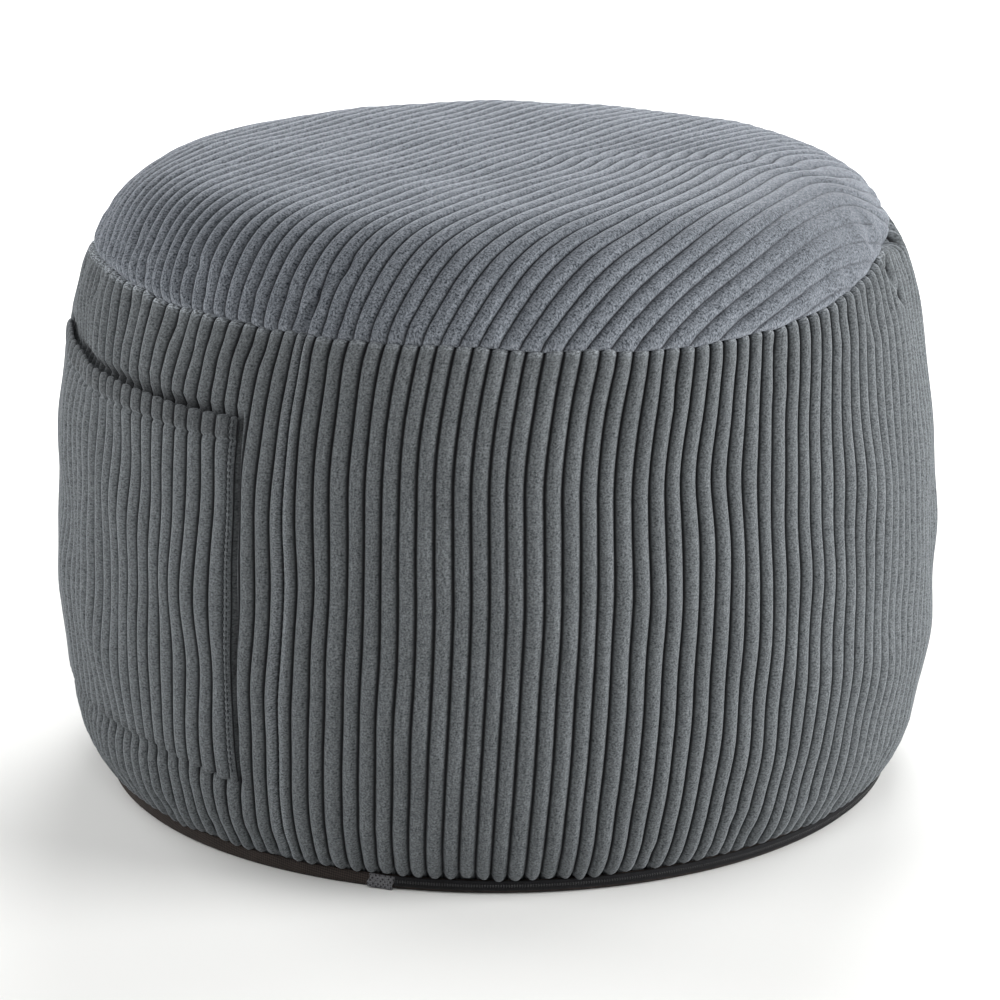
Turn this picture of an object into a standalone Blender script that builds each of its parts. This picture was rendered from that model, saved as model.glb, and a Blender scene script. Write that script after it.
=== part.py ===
"""A round pouf ottoman in wide-wale corduroy, about 50 cm across and 35 cm high.

The band and the top are filled cloth, so each is one solid whose outside has the crown,
the drawn-in foot and shoulder, and the raised wales of the real cover. The patch pocket,
the base cloth, the zip and its end cover are thin sheets laid on them.

Azimuth is the angle round the pouf, 0 at the front (-Y) and growing towards +X.
"""

import bmesh
import bpy
import numpy as np

# Driving sizes, in metres.
WIDTH = 0.500
WIDEST_HEIGHT = 0.105
HEIGHT = 0.351
FOOT_HEIGHT = 0.0085
GAP = 0.0003
SEAM_GAP = 0.0004

# Above its widest line the pouf is a superellipse in section: flat on top, with round shoulders.
ROUND_OUT = 9.5
ROUND_UP = 2.3

# Below it the side draws in to the foot: height and radius over the wale crests.
LOWER_SIDE = (
    {"height": FOOT_HEIGHT, "radius": 0.2279},
    {"height": 0.026, "radius": 0.2376},
    {"height": 0.052, "radius": 0.2445},
    {"height": WIDEST_HEIGHT, "radius": WIDTH / 2},
)
UPPER_ROWS = (0.150, 0.205, 0.258)
SHOULDER_SHARES = (0.5, 1.0)

# Corduroy: one wale is a flat crest between two narrow valleys.
BAND_WALES = 168
TOP_WALES = 53
POCKET_WALES = 25
WALE_DEPTH = 0.0020
JOIN_DEPTH = 0.0034
WALE_STOPS = (0.0, 0.22, 0.78)
CLOTH = 0.0030
JOIN_AZIMUTH = np.radians(-27.2)
BAND_LEAN = np.radians(3.4)
CORNER_EASE = 0.03
EASE_FROM = 0.14

# The seam round the top: its mean height, and where the filling lifts it or lets it sag.
SEAM_HEIGHT = 0.301
SEAM_WAVES = (
    {"azimuth": np.radians(-70), "width": np.radians(18), "lift": 0.0040},
    {"azimuth": np.radians(-22), "width": np.radians(15), "lift": -0.0020},
    {"azimuth": np.radians(25), "width": np.radians(27), "lift": -0.0075},
    {"azimuth": np.radians(86), "width": np.radians(24), "lift": 0.0200},
)
SEAM_PINCH = 0.0015
PINCH_REACH = 0.008
PINCHED_WALE = 0.45

# The top: straight wales across a cut round, turned this far from +X. The rows are shares of a
# wale's half length, and the crown's curve is measured out to this share of the half width.
WALE_TURN = np.radians(57)
DOME_ROWS = (-1.0, -0.95, -0.85, -0.70, -0.40, 0.0, 0.40, 0.70, 0.85, 0.95, 1.0)
CROWN_END = 0.97
CROWN_SAMPLES = 3000

# The patch pocket on the left of the band.
POCKET_RIGHT = np.radians(-33.9)
POCKET_LEFT = np.radians(-88.0)
POCKET_LEAN = np.radians(0.8)
POCKET_FOOT = 0.058
POCKET_MOUTH = (
    {"azimuth": np.radians(-89), "height": 0.2560},
    {"azimuth": np.radians(-75), "height": 0.2557},
    {"azimuth": np.radians(-63), "height": 0.2540},
    {"azimuth": np.radians(-49), "height": 0.2497},
    {"azimuth": np.radians(-34), "height": 0.2555},
)
POCKET_GAPE = 0.0030
GAPE_FULLNESS = 0.7
HEM = 0.011
HEM_DIP = 0.0006
PRESS_MARGIN = np.radians(1.4)
PRESS_FADE = np.radians(1.5)
PRESS_RISE = 0.020

# The foot: a plinth of the filled band stands in a dish of base cloth.
RIM_SEGMENTS = 84
PLINTH_RADIUS = 0.2228
BASE_CLOTH = 0.0015
LINING_RING = 0.205
LINING_DROP = 0.0010
BASE_EDGE = 0.0030
BASE_EDGE_STEP = 0.0009
ZIP_TAPE = 0.0009
ZIP_COIL = 0.0007
ZIP_FOOT = 0.0030
ZIP_TOP = 0.0080
ZIP_SWEEP = np.radians(180)
ZIP_STEPS = 48
COVER_AZIMUTH = np.radians(-15.7)
COVER_WIDTH = 0.0136
COVER_FOOT = 0.0008
COVER_CLOTH = 0.0012
COVER_BEVEL = 0.0004

# Shading: edges sharper than this stay crisp.
SHARP_ANGLE = np.radians(40)
WELD = 0.00001

# Colours as linear red, green and blue, and roughness.
FINISHES = {
    "side_band": ((0.118, 0.134, 0.140), 0.95),
    "top_panel": ((0.172, 0.188, 0.216), 0.95),
    "pocket": ((0.112, 0.127, 0.132), 0.95),
    "base_panel": ((0.024, 0.019, 0.017), 0.90),
    "zip_tape": ((0.008, 0.008, 0.009), 0.70),
    "zip_end_cover": ((0.105, 0.105, 0.108), 0.85),
}


def clear_scene():
    for item in list(bpy.data.objects):
        bpy.data.objects.remove(item, do_unlink=True)


def column(table, name):
    return [row[name] for row in table]


def smooth_step(value, low, high):
    share = np.clip((value - low) / (high - low), 0.0, 1.0)
    return share * share * (3.0 - 2.0 * share)


def wrapped(azimuth):
    return (azimuth + np.pi) % (2 * np.pi) - np.pi


def seam_height(azimuth):
    """How high the top seam stands at this azimuth."""
    height = SEAM_HEIGHT
    for wave in SEAM_WAVES:
        away = wrapped(azimuth - wave["azimuth"]) / wave["width"]
        height = height + wave["lift"] * np.exp(-(away**2))
    return height


def side_radius(height):
    """Radius over the wale crests of the round body at this height."""
    low = np.interp(height, column(LOWER_SIDE, "height"), column(LOWER_SIDE, "radius"))
    rise = np.clip((height - WIDEST_HEIGHT) / (HEIGHT - WIDEST_HEIGHT), 0.0, 1.0)
    high = WIDTH / 2 * (1.0 - rise**ROUND_UP) ** (1 / ROUND_OUT)
    return np.where(height < WIDEST_HEIGHT, low, high)


def level_rows():
    """The heights of the band's level rows, from the foot to where the shoulder starts."""
    return np.array(column(LOWER_SIDE, "height") + list(UPPER_ROWS))


def band_radius(height):
    """Radius of the band's faces between two level rows, which are straight from row to row."""
    rows = level_rows()
    return np.interp(height, rows, side_radius(rows))


def around(radius, azimuth, height):
    """The point at this radius, azimuth and height."""
    return np.stack([radius * np.sin(azimuth), -radius * np.cos(azimuth), height + 0.0 * radius], axis=-1)


def pocket_right_edge(height):
    return POCKET_RIGHT + POCKET_LEAN * (height / HEIGHT - 0.5)


def mouth_height(azimuth):
    return np.interp(azimuth, column(POCKET_MOUTH, "azimuth"), column(POCKET_MOUTH, "height"))


def pocket_press(azimuth, height):
    """1 where the pocket presses its own thickness into the filling, 0 away from it."""
    right_end = pocket_right_edge(height) + PRESS_MARGIN
    left_end = POCKET_LEFT - PRESS_MARGIN
    right = 1.0 - smooth_step(azimuth, right_end, right_end + PRESS_FADE)
    left = smooth_step(azimuth, left_end - PRESS_FADE, left_end)
    shoulder = UPPER_ROWS[-1]
    upright = smooth_step(height, LOWER_SIDE[1]["height"], LOWER_SIDE[2]["height"])
    upright = upright * (1.0 - smooth_step(height, shoulder, shoulder + PRESS_RISE))
    return right * left * upright


def read_points(bm):
    return np.array([vert.co[:] for vert in bm.verts])


def write_points(bm, points):
    for vert, point in zip(bm.verts, points):
        vert.co = point


def wale_positions(first, pitch, count):
    """The valley and the two shoulders of each wale, in order."""
    return np.array([first + (wale + stop) * pitch for wale in range(count) for stop in WALE_STOPS])


def grid_of(bm, columns, rows):
    """A flat cut length of cloth as a grid, and each point's column and row."""
    bmesh.ops.create_grid(bm, x_segments=columns - 1, y_segments=rows - 1, size=1.0)
    flat = read_points(bm)
    across = np.rint((flat[:, 0] + 1.0) / 2.0 * (columns - 1)).astype(int)
    along = np.rint((flat[:, 1] + 1.0) / 2.0 * (rows - 1)).astype(int)
    return across, along


def open_edges(bm):
    return [edge for edge in bm.edges if edge.is_boundary]


def open_verts(bm):
    return [vert for vert in bm.verts if vert.is_boundary]


def azimuth_of(vert):
    return np.arctan2(vert.co.x, -vert.co.y)


def join_rings(bm, outer, inner):
    """Triangles between two rings of points, always on from the ring that is behind the other."""
    rings = [sorted(ring, key=azimuth_of) for ring in (outer, inner)]
    turns = [np.array([azimuth_of(vert) for vert in ring]) for ring in rings]
    turns = [np.append(turn[1:], turn[0] + 2 * np.pi) for turn in turns]
    done = [0, 0]
    for _ in range(len(outer) + len(inner)):
        ahead = [turn[count] if count < len(turn) else np.inf for turn, count in zip(turns, done)]
        behind = int(ahead[1] < ahead[0])
        here = [ring[count % len(ring)] for ring, count in zip(rings, done)]
        done[behind] += 1
        bm.faces.new((*here, rings[behind][done[behind] % len(rings[behind])]))


def filled_ring(bm, rim, step):
    """Close the seam's loop over the filling: a flat ring to a round line inside it, and a low cone."""
    made = bmesh.ops.create_circle(
        bm, cap_ends=True, cap_tris=True, segments=RIM_SEGMENTS, radius=LINING_RING
    )["verts"]
    ring = [vert for vert in made if vert.co.length > LINING_RING / 2]
    for vert in made:
        vert.co.z = SEAM_HEIGHT + step
    for vert in ring:
        vert.co.z = seam_height(azimuth_of(vert)) + step
    join_rings(bm, rim, ring)


def finish(bm, name):
    """Turn the faces outwards, make the object and give it its material."""
    bmesh.ops.recalc_face_normals(bm, faces=bm.faces)
    mesh = bpy.data.meshes.new(name)
    bm.to_mesh(mesh)
    bm.free()
    mesh.shade_smooth()
    mesh.set_sharp_from_angle(angle=SHARP_ANGLE)
    piece = bpy.data.objects.new(name, mesh)
    bpy.context.scene.collection.objects.link(piece)
    colour, roughness = FINISHES[name]
    material = bpy.data.materials.new(name)
    material.use_nodes = True
    shader = material.node_tree.nodes["Principled BSDF"]
    shader.inputs["Base Color"].default_value = (*colour, 1.0)
    shader.inputs["Roughness"].default_value = roughness
    shader.inputs["Metallic"].default_value = 0.0
    mesh.materials.append(material)
    return piece


def make_side_band():
    """The band cut flat, wrapped round into a barrel, and closed over its filling."""
    bm = bmesh.new()
    stops = wale_positions(JOIN_AZIMUTH, 2 * np.pi / BAND_WALES, BAND_WALES)
    stops = np.append(stops, JOIN_AZIMUTH + 2 * np.pi)
    levels = level_rows()
    across, along = grid_of(bm, len(stops), len(levels) + len(SHOULDER_SHARES))
    last_level = len(levels) - 1
    base_height = levels[np.minimum(along, last_level)]
    share = np.append(np.zeros(len(levels)), SHOULDER_SHARES)[along]
    rough_height = base_height + share * (SEAM_HEIGHT - base_height)

    azimuth = stops[across]
    eased = CORNER_EASE * np.sin(4 * azimuth) * smooth_step(rough_height, EASE_FROM, SEAM_HEIGHT)
    azimuth = wrapped(azimuth + eased + BAND_LEAN * (rough_height / SEAM_HEIGHT - 0.5))
    height = base_height + share * (seam_height(azimuth) - base_height)

    valley = across % len(WALE_STOPS) == 0
    joined = across % (len(stops) - 1) == 0
    at_seam = share == 1.0
    depth = np.where(valley, WALE_DEPTH, 0.0)
    depth = np.where(joined, JOIN_DEPTH, depth)
    depth = np.where(at_seam, depth * PINCHED_WALE + SEAM_PINCH, depth)
    radius = side_radius(height) - CLOTH * pocket_press(azimuth, height) - depth
    write_points(bm, around(radius, azimuth, height))
    bmesh.ops.remove_doubles(bm, verts=bm.verts, dist=WELD)

    seam = [vert for vert in open_verts(bm) if vert.co.z > HEIGHT / 2]
    foot = [vert for vert in open_verts(bm) if vert.co.z < HEIGHT / 2]
    filled_ring(bm, seam, -LINING_DROP)

    plinth = bmesh.ops.create_circle(bm, cap_ends=False, segments=RIM_SEGMENTS, radius=PLINTH_RADIUS)["verts"]
    bmesh.ops.translate(bm, verts=plinth, vec=(0, 0, FOOT_HEIGHT))
    join_rings(bm, foot, plinth)
    ring = open_edges(bm)
    lowered = bmesh.ops.extrude_edge_only(bm, edges=ring)["geom"]
    bottom = [item for item in lowered if isinstance(item, bmesh.types.BMVert)]
    bmesh.ops.translate(bm, verts=bottom, vec=(0, 0, BASE_CLOTH + GAP - FOOT_HEIGHT))
    bmesh.ops.holes_fill(bm, edges=open_edges(bm))
    return finish(bm, "side_band")


def crown_curve():
    """Distance along the cloth from the middle of the top outwards, with the radius and height there."""
    share = np.linspace(0.0, CROWN_END, CROWN_SAMPLES)
    radius = share * WIDTH / 2
    height = WIDEST_HEIGHT + (HEIGHT - WIDEST_HEIGHT) * (1.0 - share**ROUND_OUT) ** (1 / ROUND_UP)
    steps = np.hypot(np.diff(radius), np.diff(height))
    return np.append(0.0, np.cumsum(steps)), radius, height


def crown_point(share, azimuth):
    """The point this share of the way from the middle to the seam, and the way out of the cloth there."""
    lengths, radii, heights = crown_curve()
    seam = seam_height(azimuth) + SEAM_GAP
    to_seam = np.interp(-seam, -heights, lengths)
    radius = np.interp(share * to_seam, lengths, radii)
    height = np.interp(share * to_seam, lengths, heights)
    height = np.where(share == 1.0, seam, height)
    rise = np.clip((height - WIDEST_HEIGHT) / (HEIGHT - WIDEST_HEIGHT), 0.0, 1.0)
    steep = ROUND_OUT / (WIDTH / 2) * (radius / (WIDTH / 2)) ** (ROUND_OUT - 1)
    level = ROUND_UP / (HEIGHT - WIDEST_HEIGHT) * rise ** (ROUND_UP - 1)
    size = np.hypot(steep, level)
    return around(radius, azimuth, height), around(steep / size, azimuth, level / size)


def make_top_panel():
    """A round of corduroy laid over the filling, its wales straight lines across the cut round."""
    bm = bmesh.new()
    lengths, _, heights = crown_curve()
    cut_radius = np.interp(-SEAM_HEIGHT, -heights, lengths)
    pitch = 2 * cut_radius / TOP_WALES
    stops = np.append(wale_positions(-cut_radius, pitch, TOP_WALES), cut_radius)
    stops = np.delete(stops, (1, len(stops) - 2))
    across, along = grid_of(bm, len(stops), len(DOME_ROWS))
    row_share = np.array(DOME_ROWS)[along]
    sideways = stops[across]
    forward = row_share * np.sqrt(np.maximum(cut_radius**2 - sideways**2, 0.0))

    # The outermost line of each side follows the round edge, in even steps, instead of a chord.
    next_angle = np.arccos(stops[-2] / cut_radius)
    steps = len(DOME_ROWS) - 1
    edge_angle = next_angle * steps / (steps + 2) * (2.0 * along / steps - 1.0)
    last = (across == 0) | (across == len(stops) - 1)
    side = np.where(across == 0, -1.0, 1.0)
    sideways = np.where(last, side * cut_radius * np.cos(edge_angle), sideways)
    forward = np.where(last, cut_radius * np.sin(edge_angle), forward)

    flat_x = forward * np.cos(WALE_TURN) + sideways * np.sin(WALE_TURN)
    flat_y = forward * np.sin(WALE_TURN) - sideways * np.cos(WALE_TURN)
    rim = last | (np.abs(row_share) == 1.0)
    share = np.where(rim, 1.0, np.minimum(np.hypot(flat_x, flat_y) / cut_radius, 1.0))
    azimuth = np.arctan2(flat_x, -flat_y)
    point, way = crown_point(share, azimuth)
    valley = ((across + 1) % len(WALE_STOPS) == 0) & ~last
    nearness = 1.0 - np.clip((1.0 - share) * cut_radius / PINCH_REACH, 0.0, 1.0)
    depth = np.where(valley, WALE_DEPTH * (1.0 - nearness * (1.0 - PINCHED_WALE)), 0.0)
    inward = np.where(rim[:, None], around(np.ones_like(share), azimuth, 0.0 * share), way)
    depth = depth + SEAM_PINCH * nearness**2
    write_points(bm, point - inward * depth[:, None])
    filled_ring(bm, open_verts(bm), SEAM_GAP)
    return finish(bm, "top_panel")


def make_pocket():
    """A hemmed patch of corduroy laid on the band, standing off it most at the middle of its mouth."""
    bm = bmesh.new()
    stops = np.append(wale_positions(0.0, 1.0 / POCKET_WALES, POCKET_WALES), 1.0)
    lowest_mouth = min(column(POCKET_MOUTH, "height"))
    inside = [height for height in level_rows() if POCKET_FOOT + HEM < height < lowest_mouth - HEM]
    rows = len(inside) + 3
    across, along = grid_of(bm, len(stops), rows)
    share = stops[across]

    def placed(height):
        return POCKET_LEFT + share * (pocket_right_edge(height) - POCKET_LEFT)

    mouth = mouth_height(placed(lowest_mouth))
    heights = [np.full_like(mouth, POCKET_FOOT)]
    heights += [np.full_like(mouth, height) for height in inside]
    heights += [mouth - HEM, mouth]
    height = np.choose(along, heights)
    azimuth = placed(height)
    gape = POCKET_GAPE * np.sin(np.pi * share) ** GAPE_FULLNESS * smooth_step(height, POCKET_FOOT, mouth)
    inner = band_radius(height) - CLOTH + GAP + gape
    valley = (across % len(WALE_STOPS) == 0) & (share > 0.0) & (share < 1.0)
    depth = np.where(valley, WALE_DEPTH, 0.0) + np.where(along == rows - 2, HEM_DIP, 0.0)
    outer = inner + CLOTH - depth
    write_points(bm, around(outer, azimuth, height))

    front = list(bm.verts) + list(bm.edges) + list(bm.faces)
    copied = bmesh.ops.duplicate(bm, geom=front)["vert_map"]
    behind = around(inner, azimuth, height)
    for vert, place in zip(front[: len(behind)], behind):
        copied[vert].co = place
    bmesh.ops.bridge_loops(bm, edges=open_edges(bm))
    return finish(bm, "pocket")


def turned(bm, profile):
    """Turn a profile of radius and height rows about the upright axis, ring by ring."""
    first = profile[0]
    ring = bmesh.ops.create_circle(bm, cap_ends=True, segments=RIM_SEGMENTS, radius=first["radius"])["verts"]
    bmesh.ops.translate(bm, verts=ring, vec=(0, 0, first["height"]))
    edges = list(bm.edges)
    for row, following in zip(profile, profile[1:]):
        made = bmesh.ops.extrude_edge_only(bm, edges=edges)["geom"]
        verts = [item for item in made if isinstance(item, bmesh.types.BMVert)]
        edges = [item for item in made if isinstance(item, bmesh.types.BMEdge)]
        edges = [edge for edge in edges if edge.verts[0] in verts and edge.verts[1] in verts]
        growth = following["radius"] / row["radius"]
        bmesh.ops.scale(bm, verts=verts, vec=(growth, growth, 1.0))
        bmesh.ops.translate(bm, verts=verts, vec=(0, 0, following["height"] - row["height"]))
    bmesh.ops.holes_fill(bm, edges=edges)


def make_base_panel():
    """A dish of base cloth: flat on the floor, turned up round the plinth."""
    bm = bmesh.new()
    wall_in = PLINTH_RADIUS + GAP
    wall_out = wall_in + BASE_CLOTH
    turned(
        bm,
        (
            {"radius": wall_out - BASE_EDGE, "height": 0.0},
            {"radius": wall_out - BASE_EDGE_STEP, "height": BASE_EDGE_STEP},
            {"radius": wall_out, "height": BASE_EDGE},
            {"radius": wall_out, "height": FOOT_HEIGHT - GAP},
            {"radius": wall_in, "height": FOOT_HEIGHT - GAP},
            {"radius": wall_in, "height": BASE_CLOTH},
        ),
    )
    return finish(bm, "base_panel")


def make_zip_tape():
    """A strip of zip tape with its closed coil as a low ridge, run round the foot from the cover."""
    bm = bmesh.new()
    inner = PLINTH_RADIUS + GAP + BASE_CLOTH + GAP
    middle = (ZIP_FOOT + ZIP_TOP) / 2
    section = (
        {"radius": inner, "height": ZIP_FOOT},
        {"radius": inner + ZIP_TAPE, "height": ZIP_FOOT},
        {"radius": inner + ZIP_TAPE + ZIP_COIL, "height": middle},
        {"radius": inner + ZIP_TAPE, "height": ZIP_TOP},
        {"radius": inner, "height": ZIP_TOP},
    )
    start = COVER_AZIMUTH + (COVER_WIDTH / 2 + GAP) / inner
    verts = [bm.verts.new(around(row["radius"], start, row["height"])) for row in section]
    face = bm.faces.new(verts)
    bmesh.ops.spin(
        bm,
        geom=[face] + list(face.edges) + verts,
        cent=(0, 0, 0),
        axis=(0, 0, 1),
        angle=ZIP_SWEEP,
        steps=ZIP_STEPS,
        use_duplicate=False,
    )
    return finish(bm, "zip_tape")


def make_zip_end_cover():
    """A small folded tab of cloth over the end of the zip."""
    bm = bmesh.new()
    made = bmesh.ops.create_cube(bm, size=1.0)["verts"]
    tall = ZIP_TOP - COVER_FOOT
    bmesh.ops.scale(bm, verts=made, vec=(COVER_WIDTH, COVER_CLOTH, tall))
    bmesh.ops.bevel(
        bm,
        geom=list(bm.edges),
        offset=COVER_BEVEL,
        affect="EDGES",
        segments=1,
        profile=0.5,
        material=-1,
    )
    inner = PLINTH_RADIUS + GAP + BASE_CLOTH + GAP
    points = read_points(bm) + np.array([0, -(inner + COVER_CLOTH / 2), COVER_FOOT + tall / 2])
    radius = -points[:, 1]
    write_points(bm, around(radius, COVER_AZIMUTH + points[:, 0] / radius, points[:, 2]))
    return finish(bm, "zip_end_cover")


def main():
    clear_scene()
    make_side_band()
    make_top_panel()
    make_pocket()
    make_base_panel()
    make_zip_tape()
    make_zip_end_cover()


main()
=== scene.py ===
# %% [markdown]
# # A round pouf in wide-wale corduroy
#
# The pouf is a filled bag: a tall band of corduroy goes round it, a domed round of the same
# cloth closes the top, and a dark woven cloth closes the underside. A flat pocket is sewn to the
# left of the band, and a zip runs round the foot. The solid model is loaded first. It is the
# fixed frame, and every piece below is laid on it in metres, with +Z up and the front at -Y.

import bmesh
import bpy
import numpy as np
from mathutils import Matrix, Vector


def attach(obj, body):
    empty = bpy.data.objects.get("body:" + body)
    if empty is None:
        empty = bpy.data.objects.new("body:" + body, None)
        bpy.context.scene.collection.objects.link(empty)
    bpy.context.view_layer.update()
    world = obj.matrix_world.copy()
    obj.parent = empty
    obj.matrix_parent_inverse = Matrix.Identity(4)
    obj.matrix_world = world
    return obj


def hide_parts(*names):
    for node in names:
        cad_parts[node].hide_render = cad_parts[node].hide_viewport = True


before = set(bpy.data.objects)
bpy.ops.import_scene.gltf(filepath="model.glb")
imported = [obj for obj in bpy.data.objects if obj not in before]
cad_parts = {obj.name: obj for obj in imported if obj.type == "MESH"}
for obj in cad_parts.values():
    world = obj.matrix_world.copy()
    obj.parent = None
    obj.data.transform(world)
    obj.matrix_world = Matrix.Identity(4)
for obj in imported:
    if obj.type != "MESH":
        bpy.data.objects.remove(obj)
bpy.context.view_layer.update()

# %% [markdown]
# ## Camera
#
# The camera looks at the front from a little above, through a long lens, so the far side of the
# top shows as a shallow curve. A short lens from nearby could frame the pouf too, but it would
# swell the middle. The small shift moves the picture, not the viewpoint.

# %% Camera
LOOK_AT = Vector((0.0, 0.0, 0.1724))
VIEW_DISTANCE = 2.03
VIEW_ELEVATION = np.radians(16.21)
LENS_MM = 127.9
SENSOR_MM = 36.0
SHIFT_RIGHT = 0.003
SHIFT_UP = -0.0406

camera = bpy.data.objects.new("camera", bpy.data.cameras.new("camera"))
bpy.context.scene.collection.objects.link(camera)
towards_camera = Vector((0.0, -np.cos(VIEW_ELEVATION), np.sin(VIEW_ELEVATION)))
camera.location = LOOK_AT + towards_camera * VIEW_DISTANCE
camera.rotation_euler = (-towards_camera).to_track_quat("-Z", "Y").to_euler()
camera.data.lens = LENS_MM
camera.data.sensor_width = SENSOR_MM
camera.data.shift_x = SHIFT_RIGHT
camera.data.shift_y = SHIFT_UP
bpy.context.scene.camera = camera
print("camera at", [round(value, 3) for value in camera.location])

# %% [markdown]
# ## Colours, nodes and tables
#
# Colours are picked as hex values, as on a screen, but a renderer adds light in linear values.
# One function does the change. A second one adds a shader node with its settings, and gives each
# input a link, a colour or a number, so each material below reads as a list of steps. A third
# makes a short table from the names of its columns and its rows. Sizes stand in such tables or
# under a name of their own, because a bare number in a formula says nothing of what it sizes.
# The last one makes an object from finished mesh code.

# %% Colour, node and table helpers
def linear(hex_colour):
    """An sRGB hex colour as linear red, green, blue and alpha."""
    parts = [int(hex_colour[place : place + 2], 16) / 255 for place in (1, 3, 5)]
    return (*[part / 12.92 if part <= 0.04045 else ((part + 0.055) / 1.055) ** 2.4 for part in parts], 1.0)


def add_node(tree, kind, inputs=None, output=0, **settings):
    """Add a node with its settings, give each input a link, a colour or a value, and return its output."""
    node = tree.nodes.new("ShaderNode" + kind)
    for name, value in settings.items():
        setattr(node, name, value)
    for name, value in (inputs or {}).items():
        if isinstance(value, bpy.types.NodeSocket):
            tree.links.new(value, node.inputs[name])
        else:
            node.inputs[name].default_value = linear(value) if isinstance(value, str) else value
    return node.outputs[output]


def table(names, *rows):
    """A short table: the names of its columns, and each row by those names."""
    return [dict(zip(names.split(), row, strict=True)) for row in rows]


def new_material(name):
    """A material with its nodes: the material, its tree and its shader."""
    material = bpy.data.materials.new(name)
    material.use_nodes = True
    return material, material.node_tree, material.node_tree.nodes["Principled BSDF"]


def mesh_object(bm, name):
    """Make an object in the scene from finished mesh code."""
    mesh = bpy.data.meshes.new(name)
    bm.to_mesh(mesh)
    bm.free()
    made = bpy.data.objects.new(name, mesh)
    bpy.context.scene.collection.objects.link(made)
    return made


# A Mix node keeps its colour sockets after those for numbers and vectors.
FIRST, SECOND, MIXED = 6, 7, 2
print("helpers ready")

# %% [markdown]
# ## Floor and light
#
# The floor is one pale plane.
# Corduroy is dark where one looks straight into its pile and pale where light grazes it, so the
# light decides how round the wales look. A large light on the right shades every wale from its
# left flank to its right one. Weaker ones on the left and behind draw the wales there, and the
# front gets only a little. One lamp near the camera would be simpler, but it flattens the wales.

# %% Floor
FLOOR_HALF = 20.0
FLOOR_COLOUR = "#ececea"

bm = bmesh.new()
bmesh.ops.create_grid(bm, x_segments=1, y_segments=1, size=FLOOR_HALF)
floor = mesh_object(bm, "floor")
# Matt pressed paper: an even pale ground that takes a soft shadow and mirrors nothing.
floor_finish, floor_tree, floor_shader = new_material("matt_paper_floor")
floor_shader.inputs["Base Color"].default_value = linear(FLOOR_COLOUR)
floor_shader.inputs["Roughness"].default_value = 0.9
floor.data.materials.append(floor_finish)
print("floor", 2 * FLOOR_HALF, "m wide")

# %% Soft lights
LIGHTS = table(
    "name place size watts",
    ("front_softbox", (-0.5, -2.2, 2.4), 1.8, 24.0),
    ("right_softbox", (2.6, -0.7, 1.0), 1.8, 116.0),
    ("right_back_softbox", (2.1, 1.4, 1.3), 1.8, 30.0),
    ("left_softbox", (-2.6, -0.7, 1.0), 1.8, 40.0),
    ("left_back_softbox", (-2.1, 1.4, 1.3), 1.8, 40.0),
    ("back_softbox", (0.3, 2.5, 1.6), 1.8, 92.0),
)
SKY_COLOUR = "#ffffff"
SKY_STRENGTH = 0.10

for row in LIGHTS:
    lamp = bpy.data.lights.new(row["name"], "AREA")
    lamp.shape = "DISK"
    lamp.size = row["size"]
    lamp.energy = row["watts"]
    holder = bpy.data.objects.new(row["name"], lamp)
    holder.location = row["place"]
    holder.rotation_euler = (LOOK_AT - holder.location).to_track_quat("-Z", "Y").to_euler()
    bpy.context.scene.collection.objects.link(holder)

world = bpy.data.worlds.new("pale_studio")
world.use_nodes = True
world.node_tree.nodes["Background"].inputs["Color"].default_value = linear(SKY_COLOUR)
world.node_tree.nodes["Background"].inputs["Strength"].default_value = SKY_STRENGTH
bpy.context.scene.world = world
bpy.context.scene.view_settings.view_transform = "Standard"
print("lights", [row["name"] for row in LIGHTS])

# %% [markdown]
# ## The smooth body
#
# Under the wales the pouf is one round body. Its section above the widest line is a
# superellipse, which is flat on top with full, round shoulders. A plain ellipse would look like a
# ball, and a rounded box like a tin. Below the widest line the side draws in to the foot. The
# seam round the top isn't level: the filling lifts it at the right end and lets it sag between.
# Every place on the body has an azimuth, which is the angle round it from the front towards +X,
# and a station, which is 0 at the foot, 1 at the seam and 2 in the middle of the top.

# %% Sizes of the body
WIDTH = 0.500
HEIGHT = 0.351
WIDEST_HEIGHT = 0.105
FOOT_HEIGHT = 0.0085
ROUND_OUT = 9.5
ROUND_UP = 2.3
LOWER_SIDE = table(
    "height radius",
    (FOOT_HEIGHT, 0.2279),
    (0.026, 0.2376),
    (0.052, 0.2445),
    (WIDEST_HEIGHT, WIDTH / 2),
    (0.130, WIDTH / 2),
)
SEAM_HEIGHT = 0.301
SEAM_WAVES = table(
    "azimuth width lift",
    (-70, 18, 0.0040),
    (-22, 15, -0.0020),
    (25, 27, -0.0075),
    (86, 24, 0.0200),
    (81, 6, -0.0090),
)
CROWN_END = 0.97
CROWN_SAMPLES = 3000
print("body", WIDTH, "m across and", HEIGHT, "m high")


# %% Smooth curves
def column(rows, name):
    return np.array([row[name] for row in rows])


def wrapped(azimuth):
    return (azimuth + np.pi) % (2 * np.pi) - np.pi


def smooth_step(value, low, high):
    share = np.clip((value - low) / (high - low), 0.0, 1.0)
    return share * share * (3.0 - 2.0 * share)


def smooth_curve(value, stops, values):
    """A curve through a few points, with no corner at them."""
    slopes = np.gradient(values, stops)
    index = np.clip(np.searchsorted(stops, value) - 1, 0, len(stops) - 2)
    span = stops[index + 1] - stops[index]
    share = np.clip((value - stops[index]) / span, 0.0, 1.0)
    late = share * share * (3.0 - 2.0 * share)
    leaving = share * (1.0 - share) ** 2 * span * slopes[index]
    arriving = share**2 * (share - 1.0) * span * slopes[index + 1]
    return (1.0 - late) * values[index] + late * values[index + 1] + leaving + arriving


def around(radius, azimuth, height):
    """The point at this radius, azimuth and height."""
    return np.stack([radius * np.sin(azimuth), -radius * np.cos(azimuth), height + 0.0 * radius], axis=-1)


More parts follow.
